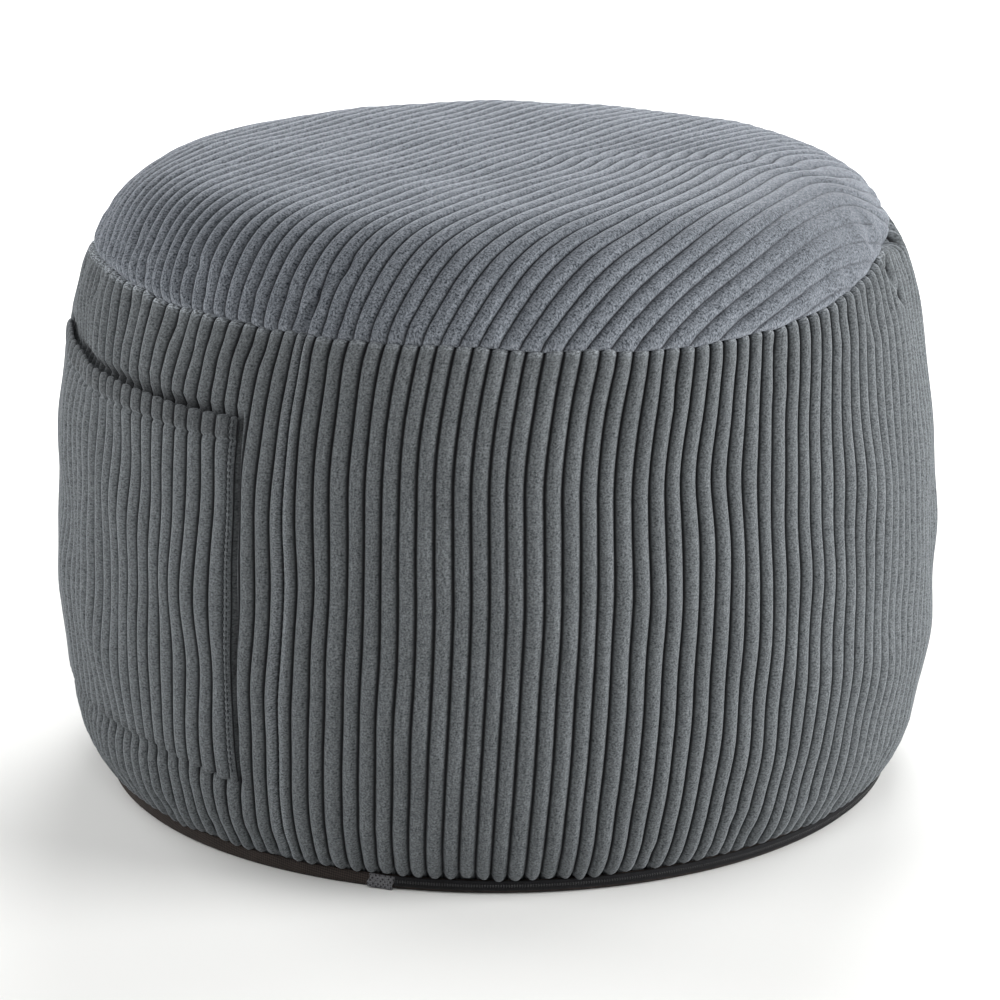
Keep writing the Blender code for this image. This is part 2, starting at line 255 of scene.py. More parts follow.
# %% The body as a function
def seam_height(azimuth):
    """How high the top seam stands at this azimuth."""
    height = SEAM_HEIGHT + 0.0 * azimuth
    for wave in SEAM_WAVES:
        away = wrapped(azimuth - np.radians(wave["azimuth"])) / np.radians(wave["width"])
        height = height + wave["lift"] * np.exp(-(away**2))
    return height


def side_radius(height):
    """Radius over the wale crests at this height."""
    low = smooth_curve(height, column(LOWER_SIDE, "height"), column(LOWER_SIDE, "radius"))
    rise = np.clip((height - WIDEST_HEIGHT) / (HEIGHT - WIDEST_HEIGHT), 0.0, 1.0)
    high = WIDTH / 2 * (1.0 - rise**ROUND_UP) ** (1 / ROUND_OUT)
    return np.where(height < WIDEST_HEIGHT, low, high)


def crown_curve():
    """Distance along the cloth from the middle of the top outwards, with the radius and height there."""
    share = np.linspace(0.0, CROWN_END, CROWN_SAMPLES)
    radius = share * WIDTH / 2
    height = WIDEST_HEIGHT + (HEIGHT - WIDEST_HEIGHT) * (1.0 - share**ROUND_OUT) ** (1 / ROUND_UP)
    steps = np.hypot(np.diff(radius), np.diff(height))
    return np.append(0.0, np.cumsum(steps)), radius, height


CROWN_LENGTHS, CROWN_RADII, CROWN_HEIGHTS = crown_curve()
SLOPE_STEP = 0.0005


def crown_length(height):
    """How far along the cloth it is from the middle of the top to this height."""
    return np.interp(-height, -CROWN_HEIGHTS, CROWN_LENGTHS)


def way_out(radius, azimuth, height):
    """The direction straight out of the body there."""
    rise = np.clip((height - WIDEST_HEIGHT) / (HEIGHT - WIDEST_HEIGHT), 0.0, 1.0)
    outwards = ROUND_OUT / (WIDTH / 2) * (radius / (WIDTH / 2)) ** (ROUND_OUT - 1)
    upwards = ROUND_UP / (HEIGHT - WIDEST_HEIGHT) * rise ** (ROUND_UP - 1)
    low = height < WIDEST_HEIGHT
    lean = (side_radius(height + SLOPE_STEP) - side_radius(height - SLOPE_STEP)) / (2 * SLOPE_STEP)
    outwards = np.where(low, 1.0, outwards)
    upwards = np.where(low, -lean, upwards)
    size = np.hypot(outwards, upwards)
    return around(outwards / size, azimuth, upwards / size)


def body_point(azimuth, station):
    """A point of the smooth body, and the way out of it. Station 0 is the foot, 1 the seam, 2 the middle."""
    seam = seam_height(azimuth)
    side_height = FOOT_HEIGHT + np.minimum(station, 1.0) * (seam - FOOT_HEIGHT)
    along = (2.0 - np.maximum(station, 1.0)) * crown_length(seam)
    on_top = station > 1.0
    radius = np.where(on_top, np.interp(along, CROWN_LENGTHS, CROWN_RADII), side_radius(side_height))
    height = np.where(on_top, np.interp(along, CROWN_LENGTHS, CROWN_HEIGHTS), side_height)
    return around(radius, azimuth, height), way_out(radius, azimuth, height)


CUT_RADIUS = float(crown_length(SEAM_HEIGHT))
print("the top is cut", round(2 * CUT_RADIUS, 3), "m across before it is sewn")

# %% [markdown]
# ## How the filling swells the cover
#
# Filled cloth is never perfectly even. The band and the top are sewn to each other at the seam,
# which stays shorter than the loose cloth on both sides of it, so the cloth puckers there and
# swells between. Painting that by hand looks like a pattern. So a coarse cover is simulated: the
# seam and the foot are held, the cloth between is let out by a few hundredths, and air pressure
# pushes it out for twenty frames. Only how far each place moved out is kept, as a small table
# over azimuth and station, and the pieces below read it.

# %% Seeded unevenness
RIPPLE_WAVES = 9
RIPPLE_LENGTHS = (0.7, 1.5)


def ripples(points, size, seed):
    """Smooth unevenness of about -1 to 1: seeded sine waves of about this length through space."""
    draw = np.random.default_rng(seed)
    total = np.zeros(points.shape[:-1])
    for _ in range(RIPPLE_WAVES):
        way = draw.normal(size=3)
        way = way / np.linalg.norm(way)
        length = size * draw.uniform(*RIPPLE_LENGTHS)
        total += np.sin(points @ way * 2 * np.pi / length + draw.uniform(0, 2 * np.pi))
    return total / np.sqrt(RIPPLE_WAVES)


# %% Simulate the coarse cover
COVER_COLUMNS = 160
COVER_ROWS = 57
COVER_MERGE = 0.0002
COVER_START = 0.0006
COVER_START_SIZE = 0.06
PRESSURE = 4.0
LET_OUT = -0.03
SIMULATED_FRAMES = 20
SWELL_CAP = 0.0016
COVER_STATIONS = np.linspace(0.0, 2.0, COVER_ROWS)


def read_values(values, kind, width=1):
    """A mesh's points or attribute as an array."""
    found = np.zeros(len(values) * width)
    values.foreach_get(kind, found)
    return found.reshape(-1, width) if width > 1 else found


def grid_places(bm, columns, rows):
    """Each point's column and row in a flat cloth made by create_grid."""
    flat = np.array([vert.co[:2] for vert in bm.verts])
    return np.rint((flat + 1.0) / 2.0 * [columns - 1, rows - 1]).astype(int).T


def simulate_cover():
    """How far the pressed-out cover stands off the even body, in metres, by row and column."""
    bm = bmesh.new()
    bmesh.ops.create_grid(bm, x_segments=COVER_COLUMNS, y_segments=COVER_ROWS - 1, size=1.0)
    column_layer = bm.verts.layers.int.new("column")
    row_layer = bm.verts.layers.int.new("row")
    columns, rows = grid_places(bm, COVER_COLUMNS + 1, COVER_ROWS)
    start, out = body_point(wrapped(columns / COVER_COLUMNS * 2 * np.pi), COVER_STATIONS[rows])
    start = start + out * (COVER_START * ripples(start, COVER_START_SIZE, seed=5))[:, None]
    for vert, place, across, along in zip(bm.verts, start, columns, rows):
        vert.co = place
        vert[column_layer] = int(across) % COVER_COLUMNS
        vert[row_layer] = int(along)
    bmesh.ops.remove_doubles(bm, verts=bm.verts, dist=COVER_MERGE)
    bmesh.ops.holes_fill(bm, edges=[edge for edge in bm.edges if edge.is_boundary])
    bmesh.ops.recalc_face_normals(bm, faces=bm.faces)
    cover = mesh_object(bm, "coarse_cover")
    mesh = cover.data

    columns = read_values(mesh.attributes["column"].data, "value").astype(int)
    rows = read_values(mesh.attributes["row"].data, "value").astype(int)
    seam_row = int(np.argmin(np.abs(COVER_STATIONS - 1.0)))
    held = cover.vertex_groups.new(name="held")
    held.add(np.flatnonzero((rows == 0) | (rows == seam_row)).tolist(), 1.0, "REPLACE")
    cloth = cover.modifiers.new("cloth", "CLOTH")
    cloth.settings.vertex_group_mass = "held"
    cloth.settings.use_pressure = True
    cloth.settings.uniform_pressure_force = PRESSURE
    cloth.settings.shrink_min = LET_OUT
    cloth.settings.effector_weights.gravity = 0.0
    for step in range(1, SIMULATED_FRAMES + 1):
        bpy.context.scene.frame_set(step)
    swollen = cover.evaluated_get(bpy.context.evaluated_depsgraph_get())
    moved = read_values(swollen.data.vertices, "co", 3) - read_values(mesh.vertices, "co", 3)
    bpy.context.scene.frame_set(1)
    bpy.data.objects.remove(cover, do_unlink=True)

    out = body_point(wrapped(columns / COVER_COLUMNS * 2 * np.pi), COVER_STATIONS[rows])[1]
    swells = np.zeros((COVER_ROWS, COVER_COLUMNS))
    swells[rows, columns] = (moved * out).sum(axis=1)
    swells[-1] = swells[-2].mean()
    return swells


swell_table = simulate_cover()
print("the cover swells", round(1000 * swell_table.min(), 1), "to", round(1000 * swell_table.max(), 1), "mm")


# %% Keep the unevenness, not the mean
def even_out(swells):
    """Only what differs round the pouf is kept, capped softly, because the body has the mean form already."""
    uneven = swells - swells.mean(axis=1, keepdims=True)
    return SWELL_CAP * np.tanh(uneven / SWELL_CAP)


SWELL = even_out(swell_table)
TOP_CALM = 0.80
TOP_CALM_STATIONS = (1.0, 1.15)


def swell(azimuth, station):
    """The simulated unevenness at any azimuth and station, read between the table's places."""
    across = (azimuth / (2 * np.pi) * COVER_COLUMNS) % COVER_COLUMNS
    along = np.clip(station / 2.0 * (COVER_ROWS - 1), 0.0, COVER_ROWS - 1.001)
    left, low = np.floor(across).astype(int), np.floor(along).astype(int)
    right = (left + 1) % COVER_COLUMNS
    left = left % COVER_COLUMNS
    share_across, share_along = across - np.floor(across), along - low
    lower = SWELL[low, left] * (1.0 - share_across) + SWELL[low, right] * share_across
    upper = SWELL[low + 1, left] * (1.0 - share_across) + SWELL[low + 1, right] * share_across
    calm = 1.0 - TOP_CALM * smooth_step(station, *TOP_CALM_STATIONS)
    return calm * (lower * (1.0 - share_along) + upper * share_along)


print("kept unevenness", round(1000 * float(SWELL.std()), 2), "mm on average")

# %% [markdown]
# ## Corduroy as a material
#
# Corduroy is cotton or polyester cut pile on a woven ground: thousands of tufts stand in rows,
# and each row is a wale. The light sinks into the pile, so it has no gloss, only a soft sheen
# where one looks along the tufts. The ridge of a wale is modelled in the mesh. The material adds
# what is finer than a millimetre: the tufts, the streaks where they lean, and the dark groove,
# partly the bare ground's own colour and partly painted shade. It reads the cloth's own UV map,
# in which one unit is one wale, so the pattern follows the cloth wherever it is laid and never slides.

# %% Corduroy material
WALE_PITCH = 0.00935
# Real tufts are 0.2 to 0.3 mm thick, too fine to show in the render. They are drawn coarser, as
# clumps of about 1 mm, which is how the pile shows from a step away.
PILE_GRAINS = table(
    "name size_mm stretch",
    ("tufts", 1.05, (1.0, 1.0, 1.0)),
    ("streaks", 2.4, (1.5, 0.5, 1.0)),
    ("patches", 34.0, (1.0, 0.7, 1.0)),
    ("fuzz", 1.2, (0.8, 1.4, 1.0)),
)
GRAIN_DETAIL = 2.0
GRAIN_ROUGHNESS = 0.6
TUFT_RELIEF = 0.0005
STREAK_SHARE = 0.30
PATCH_RANGE = (0.4, 0.75)
PATCH_SHARE = 0.15
FRAYED_RANGE = (0.46, 0.58)
GROOVE_WIDTH = 0.27
GROOVE_RAGGED = 0.12
PRESSED_GROOVE = 0.25
# Dark for pressed pile, and painted shade in the band's ditches by the pocket.
MATTED_PILE_AND_SHADE = "#262425"


def add_grains(tree, place, rows):
    """Noises by name, each with a grain this many millimetres wide, from a place counted in wales."""
    grains = {}
    for row in rows:
        wales = WALE_PITCH * 1000 / row["size_mm"]
        scale = [wales * value for value in row["stretch"]]
        scaled = add_node(tree, "Mapping", {"Vector": place, "Scale": scale})
        noise = {"Vector": scaled, "Scale": 1.0, "Detail": GRAIN_DETAIL, "Roughness": GRAIN_ROUGHNESS}
        grains[row["name"]] = add_node(tree, "TexNoise", noise)
    return grains


def corduroy(name, crest, shade, groove, pale, sheen, groove_from, blend):
    """Cut-pile corduroy. Crest and shade mottle the pile; groove is the bare ground between wales, with painted
    shade.
    """
    material, tree, shader = new_material(name)
    place = add_node(tree, "UVMap", uv_map="cloth")
    grains = add_grains(tree, place, PILE_GRAINS)

    # The pile: tufts and the streaks in which they lean, in slow patches.
    mottle = add_node(tree, "Mix", {"Factor": STREAK_SHARE, "A": grains["tufts"], "B": grains["streaks"]})
    lit = add_node(tree, "MapRange", {"Value": mottle, "From Min": 0.5 - blend, "From Max": 0.5 + blend})
    low, high = PATCH_RANGE
    in_patch = {"Value": grains["patches"], "From Min": low, "From Max": high, "To Max": PATCH_SHARE}
    patch = add_node(tree, "MapRange", in_patch)

    # Above 0 the pile is painted pale: frayed pile, and on the band's wale ends under the seam also painted
    # highlight. Below 0 it is painted dark: pressed pile, and in the band's ditches by the pocket painted
    # shade.
    wear_and_painted_light = add_node(tree, "Attribute", output="Fac", attribute_name="wear_and_painted_light")
    low, high = FRAYED_RANGE
    frayed = add_node(tree, "MapRange", {"Value": grains["fuzz"], "From Min": low, "From Max": high})
    fuzz_and_highlight = add_node(tree, "Math", {0: wear_and_painted_light, 1: frayed}, operation="MULTIPLY", use_clamp=True)
    matted_and_shade = add_node(tree, "Math", {0: wear_and_painted_light, 1: -1.0}, operation="MULTIPLY", use_clamp=True)

    # The groove, partly the bare ground and partly painted shade: how far a place is from the middle of
    # its wale, made ragged by the tufts.
    across = add_node(tree, "SeparateXYZ", {"Vector": place})
    phase = add_node(tree, "Math", {0: across}, operation="FRACT")
    doubled = add_node(tree, "Math", {0: phase, 1: 2.0, 2: -1.0}, operation="MULTIPLY_ADD")
    away = add_node(tree, "Math", {0: doubled}, operation="ABSOLUTE")
    ragged = add_node(tree, "Math", {0: grains["tufts"], 1: GROOVE_RAGGED, 2: away}, operation="MULTIPLY_ADD")
    edge = {"Value": ragged, "From Min": groove_from, "From Max": groove_from + GROOVE_WIDTH}
    in_groove = add_node(tree, "MapRange", edge, interpolation_type="SMOOTHSTEP")
    pressed = add_node(tree, "Attribute", output="Fac", attribute_name="pressed")
    shown = add_node(tree, "MapRange", {"Value": pressed, "To Min": 1.0, "To Max": PRESSED_GROOVE})
    open_groove = add_node(tree, "Math", {0: in_groove, 1: shown}, operation="MULTIPLY")

    # Each colour goes over the ones before it by its own share.
    colour = shade
    layers = (lit, crest), (patch, shade), (fuzz_and_highlight, pale), (matted_and_shade, MATTED_PILE_AND_SHADE), (open_groove, groove)
    for cover, over in layers:
        layer = {"Factor": cover, FIRST: colour, SECOND: over}
        colour = add_node(tree, "Mix", layer, MIXED, data_type="RGBA")
    tree.links.new(colour, shader.inputs["Base Color"])

    bump = add_node(tree, "Bump", {"Height": mottle, "Strength": 1.0, "Distance": TUFT_RELIEF})
    tree.links.new(bump, shader.inputs["Normal"])
    shader.inputs["Roughness"].default_value = 0.95
    shader.inputs["Specular IOR Level"].default_value = 0.15
    shader.inputs["Sheen Weight"].default_value = sheen
    shader.inputs["Sheen Roughness"].default_value = 0.35
    shader.inputs["Sheen Tint"].default_value = linear(pale)
    return material


# Wide-wale corduroy is woven with loops that are cut and brushed up. It gives the eye soft, matt
# ridges with no gloss, a pale bloom where light grazes them, and a dark line in every groove, partly
# the bare ground and partly painted shade. The top is the same cloth painted lighter and bluer than
# the side: painted light, for how the light falls on it and how it is seen along its pile.
SIDE_PILE, TOP_PILE_PAINTED_LIGHTER = table(
    "crest shade groove pale sheen groove_from blend",
    ("#787c7f", "#303335", "#1f1f21", "#aab0b6", 0.50, 0.74, 0.175),
    ("#868b92", "#2c3036", "#242327", "#b4b9c2", 0.55, 0.84, 0.135),
)
BAND_CORDUROY = corduroy("wide_wale_corduroy_side", **SIDE_PILE)
TOP_CORDUROY_PAINTED_LIGHTER = corduroy("wide_wale_corduroy_top_painted_lighter", **TOP_PILE_PAINTED_LIGHTER)
POCKET_CORDUROY = corduroy("wide_wale_corduroy_pocket", **SIDE_PILE)
print("materials", BAND_CORDUROY.name, TOP_CORDUROY_PAINTED_LIGHTER.name, POCKET_CORDUROY.name)

# %% [markdown]
# ## Laying corduroy
#
# Each piece starts as the maker's flat cut: a grid whose lines run along the wales. Eight
# lines to a wale are enough for a full round crest and a narrow groove. Every point is then
# moved to its place on the body. A wale laid as its own curve with a bevel would need hundreds
# of objects, and a displacement would blur the grooves where mesh lines cross them. The wales
# aren't quite even: the loom lets their width vary, and the filling makes them wander.

# %% Wales
WALE_LINES = np.array([0.0, 0.07, 0.17, 0.32, 0.5, 0.68, 0.83, 0.93])
WALE_DEPTH = 0.0035
CREST_FULLNESS = 2.4
WIDTH_VARIES = 0.028
JOIN_MERGE = 0.00001


def wale_columns(count):
    """The place of each line of the grid, counted in wales."""
    return np.append((np.arange(count)[:, None] + WALE_LINES).ravel(), float(count))


def wale_rise(across):
    """How high the pile stands over one wale: 0 in the groove, 1 along the middle."""
    away = np.abs(2.0 * (across % 1.0) - 1.0)
    return 1.0 - away**CREST_FULLNESS


def woven_places(across, count, seed):
    """Where the lines of a real cloth lie, counted in wales that are a little wider or narrower."""
    draw = np.random.default_rng(seed)
    grooves = np.arange(count + 1.0)
    grooves[1:-1] += WIDTH_VARIES * draw.normal(size=count - 1)
    return np.interp(across, np.arange(count + 1.0), grooves)


def rounded_end(distance, reach):
    """The quarter circle with which a wale goes down into its seam: 1 at the seam, 0 away from it."""
    share = np.clip(1.0 - distance / reach, 0.0, 1.0)
    return 1.0 - np.sqrt(1.0 - share**2)


# %% From a flat grid to a laid piece
def flat_cut(bm, columns, rows):
    """A flat cut as a grid of points, and each point's column and row."""
    bmesh.ops.create_grid(bm, x_segments=columns - 1, y_segments=rows - 1, size=1.0)
    return grid_places(bm, columns, rows)


def lay(bm, places, wales, wear_and_painted_light, pressed):
    """Move the flat cut's points to their places. Keep the wales as UV, and where the pile is worn or painted
    with highlight or shade.
    """
    bm.verts.index_update()
    cloth_map = bm.loops.layers.uv.new("cloth")
    wear_and_light_layer = bm.verts.layers.float.new("wear_and_painted_light")
    press_layer = bm.verts.layers.float.new("pressed")
    for face in bm.faces:
        for loop in face.loops:
            loop[cloth_map].uv = wales[loop.vert.index]
    for vert, place, wear_and_light, press in zip(bm.verts, places, wear_and_painted_light, pressed):
        vert.co = place
        vert[wear_and_light_layer] = wear_and_light
        vert[press_layer] = press


def finished(bm, name, material, slot, *nodes):
    """Turn the faces out, make the object, and say what it rides on and which solids it stands for."""
    bmesh.ops.recalc_face_normals(bm, faces=bm.faces)
    piece = mesh_object(bm, name)
    piece.data.shade_smooth()
    piece.data.materials.append(material)
    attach(piece, "root")
    if nodes:
        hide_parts(*nodes)
    triangles = sum(len(face.vertices) - 2 for face in piece.data.polygons)
    print(name, triangles, "triangles")
    return piece


def middle_share(row, rows, first_steps, last_steps):
    """How far up a row stands between the cut's first few rows and its last few."""
    between = rows - len(first_steps) - len(last_steps)
    return np.clip((row - len(first_steps) + 1) / (between + 1), 0.0, 1.0)


def row_heights(row, rows, first_steps, last_steps, low, high):
    """Heights of a cut's rows: the first and last few at fixed steps from its edges, the rest even."""
    start, end = low + first_steps[-1], high - last_steps[0]
    height = start + middle_share(row, rows, first_steps, last_steps) * (end - start)
    from_low = first_steps[np.minimum(row, len(first_steps) - 1)]
    from_high = last_steps[np.maximum(row - rows + len(last_steps), 0)]
    height = np.where(row < len(first_steps), low + from_low, height)
    return np.where(row >= rows - len(last_steps), high - from_high, height)


def open_edges(bm):
    return [edge for edge in bm.edges if edge.is_boundary]


def azimuth_of(vert):
    return np.arctan2(vert.co.x, -vert.co.y)


def turn_in(bm, ring, place_of):
    """Carry an open edge on, each point to the radius and height for its azimuth, and return the new edge."""
    made = bmesh.ops.extrude_edge_only(bm, edges=ring)["geom"]
    for vert in [item for item in made if isinstance(item, bmesh.types.BMVert)]:
        azimuth = azimuth_of(vert)
        radius, height = place_of(azimuth)
        vert.co = around(np.array(radius), azimuth, height)
    return [item for item in made if isinstance(item, bmesh.types.BMEdge) and item.is_boundary]


# %% [markdown]
# ## The seam round the top
#
# At the seam each wale of the band ends like a fingertip, and the wales of the top dive in
# behind it. The seam isn't the same all round: on the left the fingertips are thick, in front
# the cloth lies nearly flush, and at the right end the seam is drawn in so far that a dark gap
# opens. One short table holds these looks by azimuth, and both pieces read it.

# %% Looks of the seam
SEAM_LOOKS = table(
    "azimuth tuck band_reach top_reach rim notch",
    (-180, 0.0028, 0.0042, 0.0050, 0.0012, 0.0010),
    (-115, 0.0018, 0.0034, 0.0050, 0.0014, 0.0012),
    (-85, 0.0015, 0.0032, 0.0060, 0.0030, 0.0014),
    (-52, 0.0018, 0.0032, 0.0065, 0.0036, 0.0013),
    (-28, 0.0022, 0.0030, 0.0034, 0.0012, 0.0007),
    (0, 0.0018, 0.0024, 0.0028, 0.0010, 0.0005),
    (22, 0.0019, 0.0030, 0.0028, 0.0010, 0.0008),
    (45, 0.0024, 0.0046, 0.0026, 0.0012, 0.0012),
    (66, 0.0030, 0.0050, 0.0030, 0.0012, 0.0012),
    (68, 0.0013, 0.0030, 0.0030, 0.0006, 0.0003),
    (71, 0.0015, 0.0030, 0.0030, 0.0006, 0.0003),
    (75, 0.0090, 0.0080, 0.0100, 0.0012, 0.0012),
    (81, 0.0120, 0.0090, 0.0120, 0.0012, 0.0012),
    (86, 0.0070, 0.0070, 0.0080, 0.0012, 0.0012),
    (92, 0.0036, 0.0050, 0.0055, 0.0012, 0.0012),
    (112, 0.0028, 0.0042, 0.0050, 0.0012, 0.0010),
    (180, 0.0028, 0.0042, 0.0050, 0.0012, 0.0010),
)
SEAM_SLACK = 0.0005
SEAM_SLACK_SIZE = 0.022


def seam_look(azimuth, name):
    return np.interp(np.degrees(azimuth), column(SEAM_LOOKS, "azimuth"), column(SEAM_LOOKS, name))


def seam_line(azimuth):
    """The seam's height with the small steps that the sewing leaves in it."""
    height = seam_height(azimuth)
    ring = around(np.full_like(azimuth, WIDTH / 2), azimuth, height)
    return height + SEAM_SLACK * ripples(ring, SEAM_SLACK_SIZE, seed=11)


print("seam tuck", seam_look(np.radians(np.array([-80.0, 0.0, 85.0])), "tuck"))

# %% [markdown]
# ## Folds
#
# A few creases show in the photo: one where the top was pulled over the join at the front left, a
# small kink beside it, and two in the band under the right end of the seam. A fold is a soft
# trough along a short line on the body. It could be sculpted by hand, but then it couldn't be
# moved. Here each fold is a few places, given as an azimuth in degrees and a height, and every
# point of the cloth sinks by how near it is to them.

# %% Folds
TOP_FOLDS = table(
    "from to width depth",
    ((-26.0, 0.2996), (-24.4, 0.3166), 0.0030, 0.0034),
    ((-24.4, 0.3166), (-23.1, 0.3255), 0.0034, 0.0028),
    ((-23.1, 0.3255), (-20.9, 0.3326), 0.0036, 0.0020),
    ((-49.3, 0.3210), (-45.4, 0.3210), 0.0024, 0.0015),
)
BAND_FOLDS = table(
    "from to width depth",
    ((68.8, 0.3070), (69.5, 0.2980), 0.0028, 0.0045),
    ((69.5, 0.2980), (70.5, 0.2870), 0.0030, 0.0034),
    ((81.5, 0.3200), (82.5, 0.3075), 0.0026, 0.0050),
)
FOLD_STATIONS = 401


def fold_end(turn, height):
    """The place on the body at this azimuth, in degrees, and height."""
    stations = np.linspace(0.0, 2.0, FOLD_STATIONS)
    points = body_point(np.full(len(stations), np.radians(turn)), stations)[0]
    return np.array([np.interp(height, points[:, 2], points[:, axis]) for axis in range(3)])


def fold_depth(points, folds):
    """How far the folds sink each point."""
    depth = np.zeros(points.shape[:-1])
    for row in folds:
        ends = [fold_end(*row["from"]), fold_end(*row["to"])]
        along = ends[1] - ends[0]
        share = np.clip((points - ends[0]) @ along / (along @ along), 0.0, 1.0)
        away = np.linalg.norm(points - ends[0] - share[..., None] * along, axis=-1)
        depth = np.maximum(depth, row["depth"] * np.exp(-((away / row["width"]) ** 2)))
    return depth


print("folds", len(TOP_FOLDS) + len(BAND_FOLDS))

# %% [markdown]
# ## The side band
#
# The band is one long cut with 168 wales, sewn into a ring at one upright join in front of the
# pocket. Its wales lean towards the foot, the seam pulls their upper ends aside, and they wander
# where the filling presses. Under the pocket the band is pressed in by the pocket's own
# thickness, and it stands back a little over the mouth and beside the edge, where the photo
# shows a line of shadow.

# %% Sizes of the band
BAND_WALES = 168
JOIN_AZIMUTH = np.radians(-26.7)
JOIN_DEPTH = 0.0040
JOIN_REACH = 0.3
JOIN_NARROWS = 0.36
JOIN_NARROWS_OVER = (0.16, 0.28)
JOIN_EASES = 4.0
TURN_DEGREES = 0.1
LEAN_DEGREES = 2.2
LEAN_TO = 0.170
LEAN_CURVE = 1.3
PULL_DEGREES = 3.2
PULL_FROM = 0.225
PULL_MOST = 1.3
PULL_CURVE = 1.7
PULL_ROUND = table(
    "azimuth share",
    (-180, 0.5),
    (-110, 0.3),
    (-85, -0.8),
    (-66, -1.4),
    (-56, -0.9),
    (-47, 0.3),
    (-38, 0.7),
    (-26, 0.45),
    (-5, 0.7),
    (14, 1.1),
    (42, 1.2),
    (90, 0.8),
    (180, 0.5),
)
WANDER = 0.0004
WANDER_SIZE = 0.110
WANDER_STRETCH = 0.7
LUMPS = 0.0009
LUMP_SIZE = 0.055
LUMPS_START = (0.01, 0.05)
FOOT_STEPS = np.array([0.0, 0.0004, 0.0012, 0.0024, 0.0040, 0.0062, 0.0092, 0.0130])
SEAM_STEPS = np.array([0.0140, 0.0105, 0.0078, 0.0057, 0.0040, 0.0027, 0.0017, 0.0009, 0.0003, 0.0])
BAND_MIDDLE_ROWS = 46
FOOT_TUCK = 0.0036
FOOT_REACH = 0.0046
FOOT_DROP = 0.0009
FOOT_UNEVEN = 0.0009
FOOT_UNEVEN_SIZE = 0.03
FOOT_NOTCH = 0.0030
SHELF_RADIUS = 0.205
LEVEL_RADIUS = 0.180
BAND_SHELF_DROP = 0.0080
PLINTH_RADIUS = 0.2226
PLINTH_FOOT = 0.0019
CLOTH = 0.0030
# Pale at the band's wale ends under the seam, more on the left: partly frayed pile, partly painted highlight
# where the rounded ends catch the light.
SEAM_FUZZ_AND_HIGHLIGHT = 0.45
LEFT_FUZZ_AND_HIGHLIGHT = 0.5
LEFT_FUZZ_AND_HIGHLIGHT_FROM = np.radians((28, 50))
SEAM_FUZZ_AND_HIGHLIGHT_BAND = (0.0012, 0.0048)
JOIN_FUZZ = 0.35
JOIN_FUZZ_WALES = (0.25, 0.9)
# Painted shade: how far the pile in the ditches by the pocket is painted dark.
DITCH_PAINTED_SHADE = 0.6
POCKET_RIGHT = np.radians(-33.9)
POCKET_LEFT = np.radians(-88.0)
POCKET_LEAN = np.radians(0.8)
POCKET_MOUTH = table(
    "azimuth height",
    (-89, 0.2585),
    (-76, 0.2578),
    (-66, 0.2556),
    (-57, 0.2552),
    (-49, 0.2546),
    (-42, 0.2533),
    (-33, 0.2530),
)
PRESS_MARGIN = np.radians(0.45)
PRESS_FADE = np.radians(0.6)
PRESS_FOOT = (0.046, 0.058)
PRESS_OVER = (0.0005, 0.0065)
MOUTH_DITCH = 0.0020
MOUTH_DITCH_REACH = 0.0033
MOUTH_DITCH_RISE = 0.001
MOUTH_DITCH_FADE = np.radians(7)
EDGE_DITCH = 0.0034
EDGE_DITCH_REACH = np.radians(0.28)
EDGE_DITCH_AWAY = 1.2
EDGE_DITCH_FOOT = (0.050, 0.070)
EDGE_DITCH_TOP = (0.250, 0.258)


def height_along(azimuth, rows):
    return np.interp(np.degrees(azimuth), column(rows, "azimuth"), column(rows, "height"))


def pocket_right_edge(height):
    return POCKET_RIGHT + POCKET_LEAN * (height / HEIGHT - 0.5)


def pocket_press(azimuth, height):
    """1 where the pocket presses its own thickness into the filling, 0 away from it."""
    right_end = pocket_right_edge(height) + PRESS_MARGIN
    left_end = POCKET_LEFT - PRESS_MARGIN
    right = 1.0 - smooth_step(azimuth, right_end, right_end + PRESS_FADE)
    left = smooth_step(azimuth, left_end - PRESS_FADE, left_end)
    over = height - height_along(azimuth, POCKET_MOUTH)
    upright = smooth_step(height, *PRESS_FOOT) * (1.0 - smooth_step(over, *PRESS_OVER))
    return right * left * upright


def pocket_ditch(azimuth, height):
    """The shadowed ditch over the pocket's mouth, up to near its right edge, and down beside that edge."""
    over = (height - height_along(azimuth, POCKET_MOUTH) - MOUTH_DITCH_RISE) / MOUTH_DITCH_REACH
    inside = pocket_right_edge(height) - azimuth
    on_pocket = smooth_step(inside, 0.0, MOUTH_DITCH_FADE) * (azimuth > POCKET_LEFT - PRESS_MARGIN)
    edge = np.exp(-((inside / EDGE_DITCH_REACH + EDGE_DITCH_AWAY) ** 2))
    edge = edge * smooth_step(height, *EDGE_DITCH_FOOT) * (1.0 - smooth_step(height, *EDGE_DITCH_TOP))
    return np.maximum(MOUTH_DITCH * on_pocket * np.exp(-(over**2)), EDGE_DITCH * edge)


def join_spacing(across, height):
    """The band's lines, closer beside the join, where the sewing takes in a third of a wale near the top."""
    narrows = JOIN_NARROWS * (0.5 + 0.5 * smooth_step(height, *JOIN_NARROWS_OVER))
    left = narrows * np.exp(-(across - 1.0) / JOIN_EASES) * (across >= 1.0)
    right = narrows * np.exp(-(BAND_WALES - 1.0 - across) / JOIN_EASES) * (across <= BAND_WALES - 1.0)
    inside = across - left + right
    first = across * (1.0 - narrows)
    last = BAND_WALES - (BAND_WALES - across) * (1.0 - narrows)
    return np.where(across < 1.0, first, np.where(across > BAND_WALES - 1.0, last, inside))


# %% The side band
def side_surface(azimuth, height):
    """The smooth side at a place, how far the filling raises it there, and the way out of it."""
    station = np.clip((height - FOOT_HEIGHT) / (seam_height(azimuth) - FOOT_HEIGHT), 0.0, 1.0)
    surface, out = body_point(azimuth, station)
    lumps = LUMPS * ripples(surface, LUMP_SIZE, seed=24) * smooth_step(height, *LUMPS_START)
    return surface, lumps + swell(azimuth, station), out


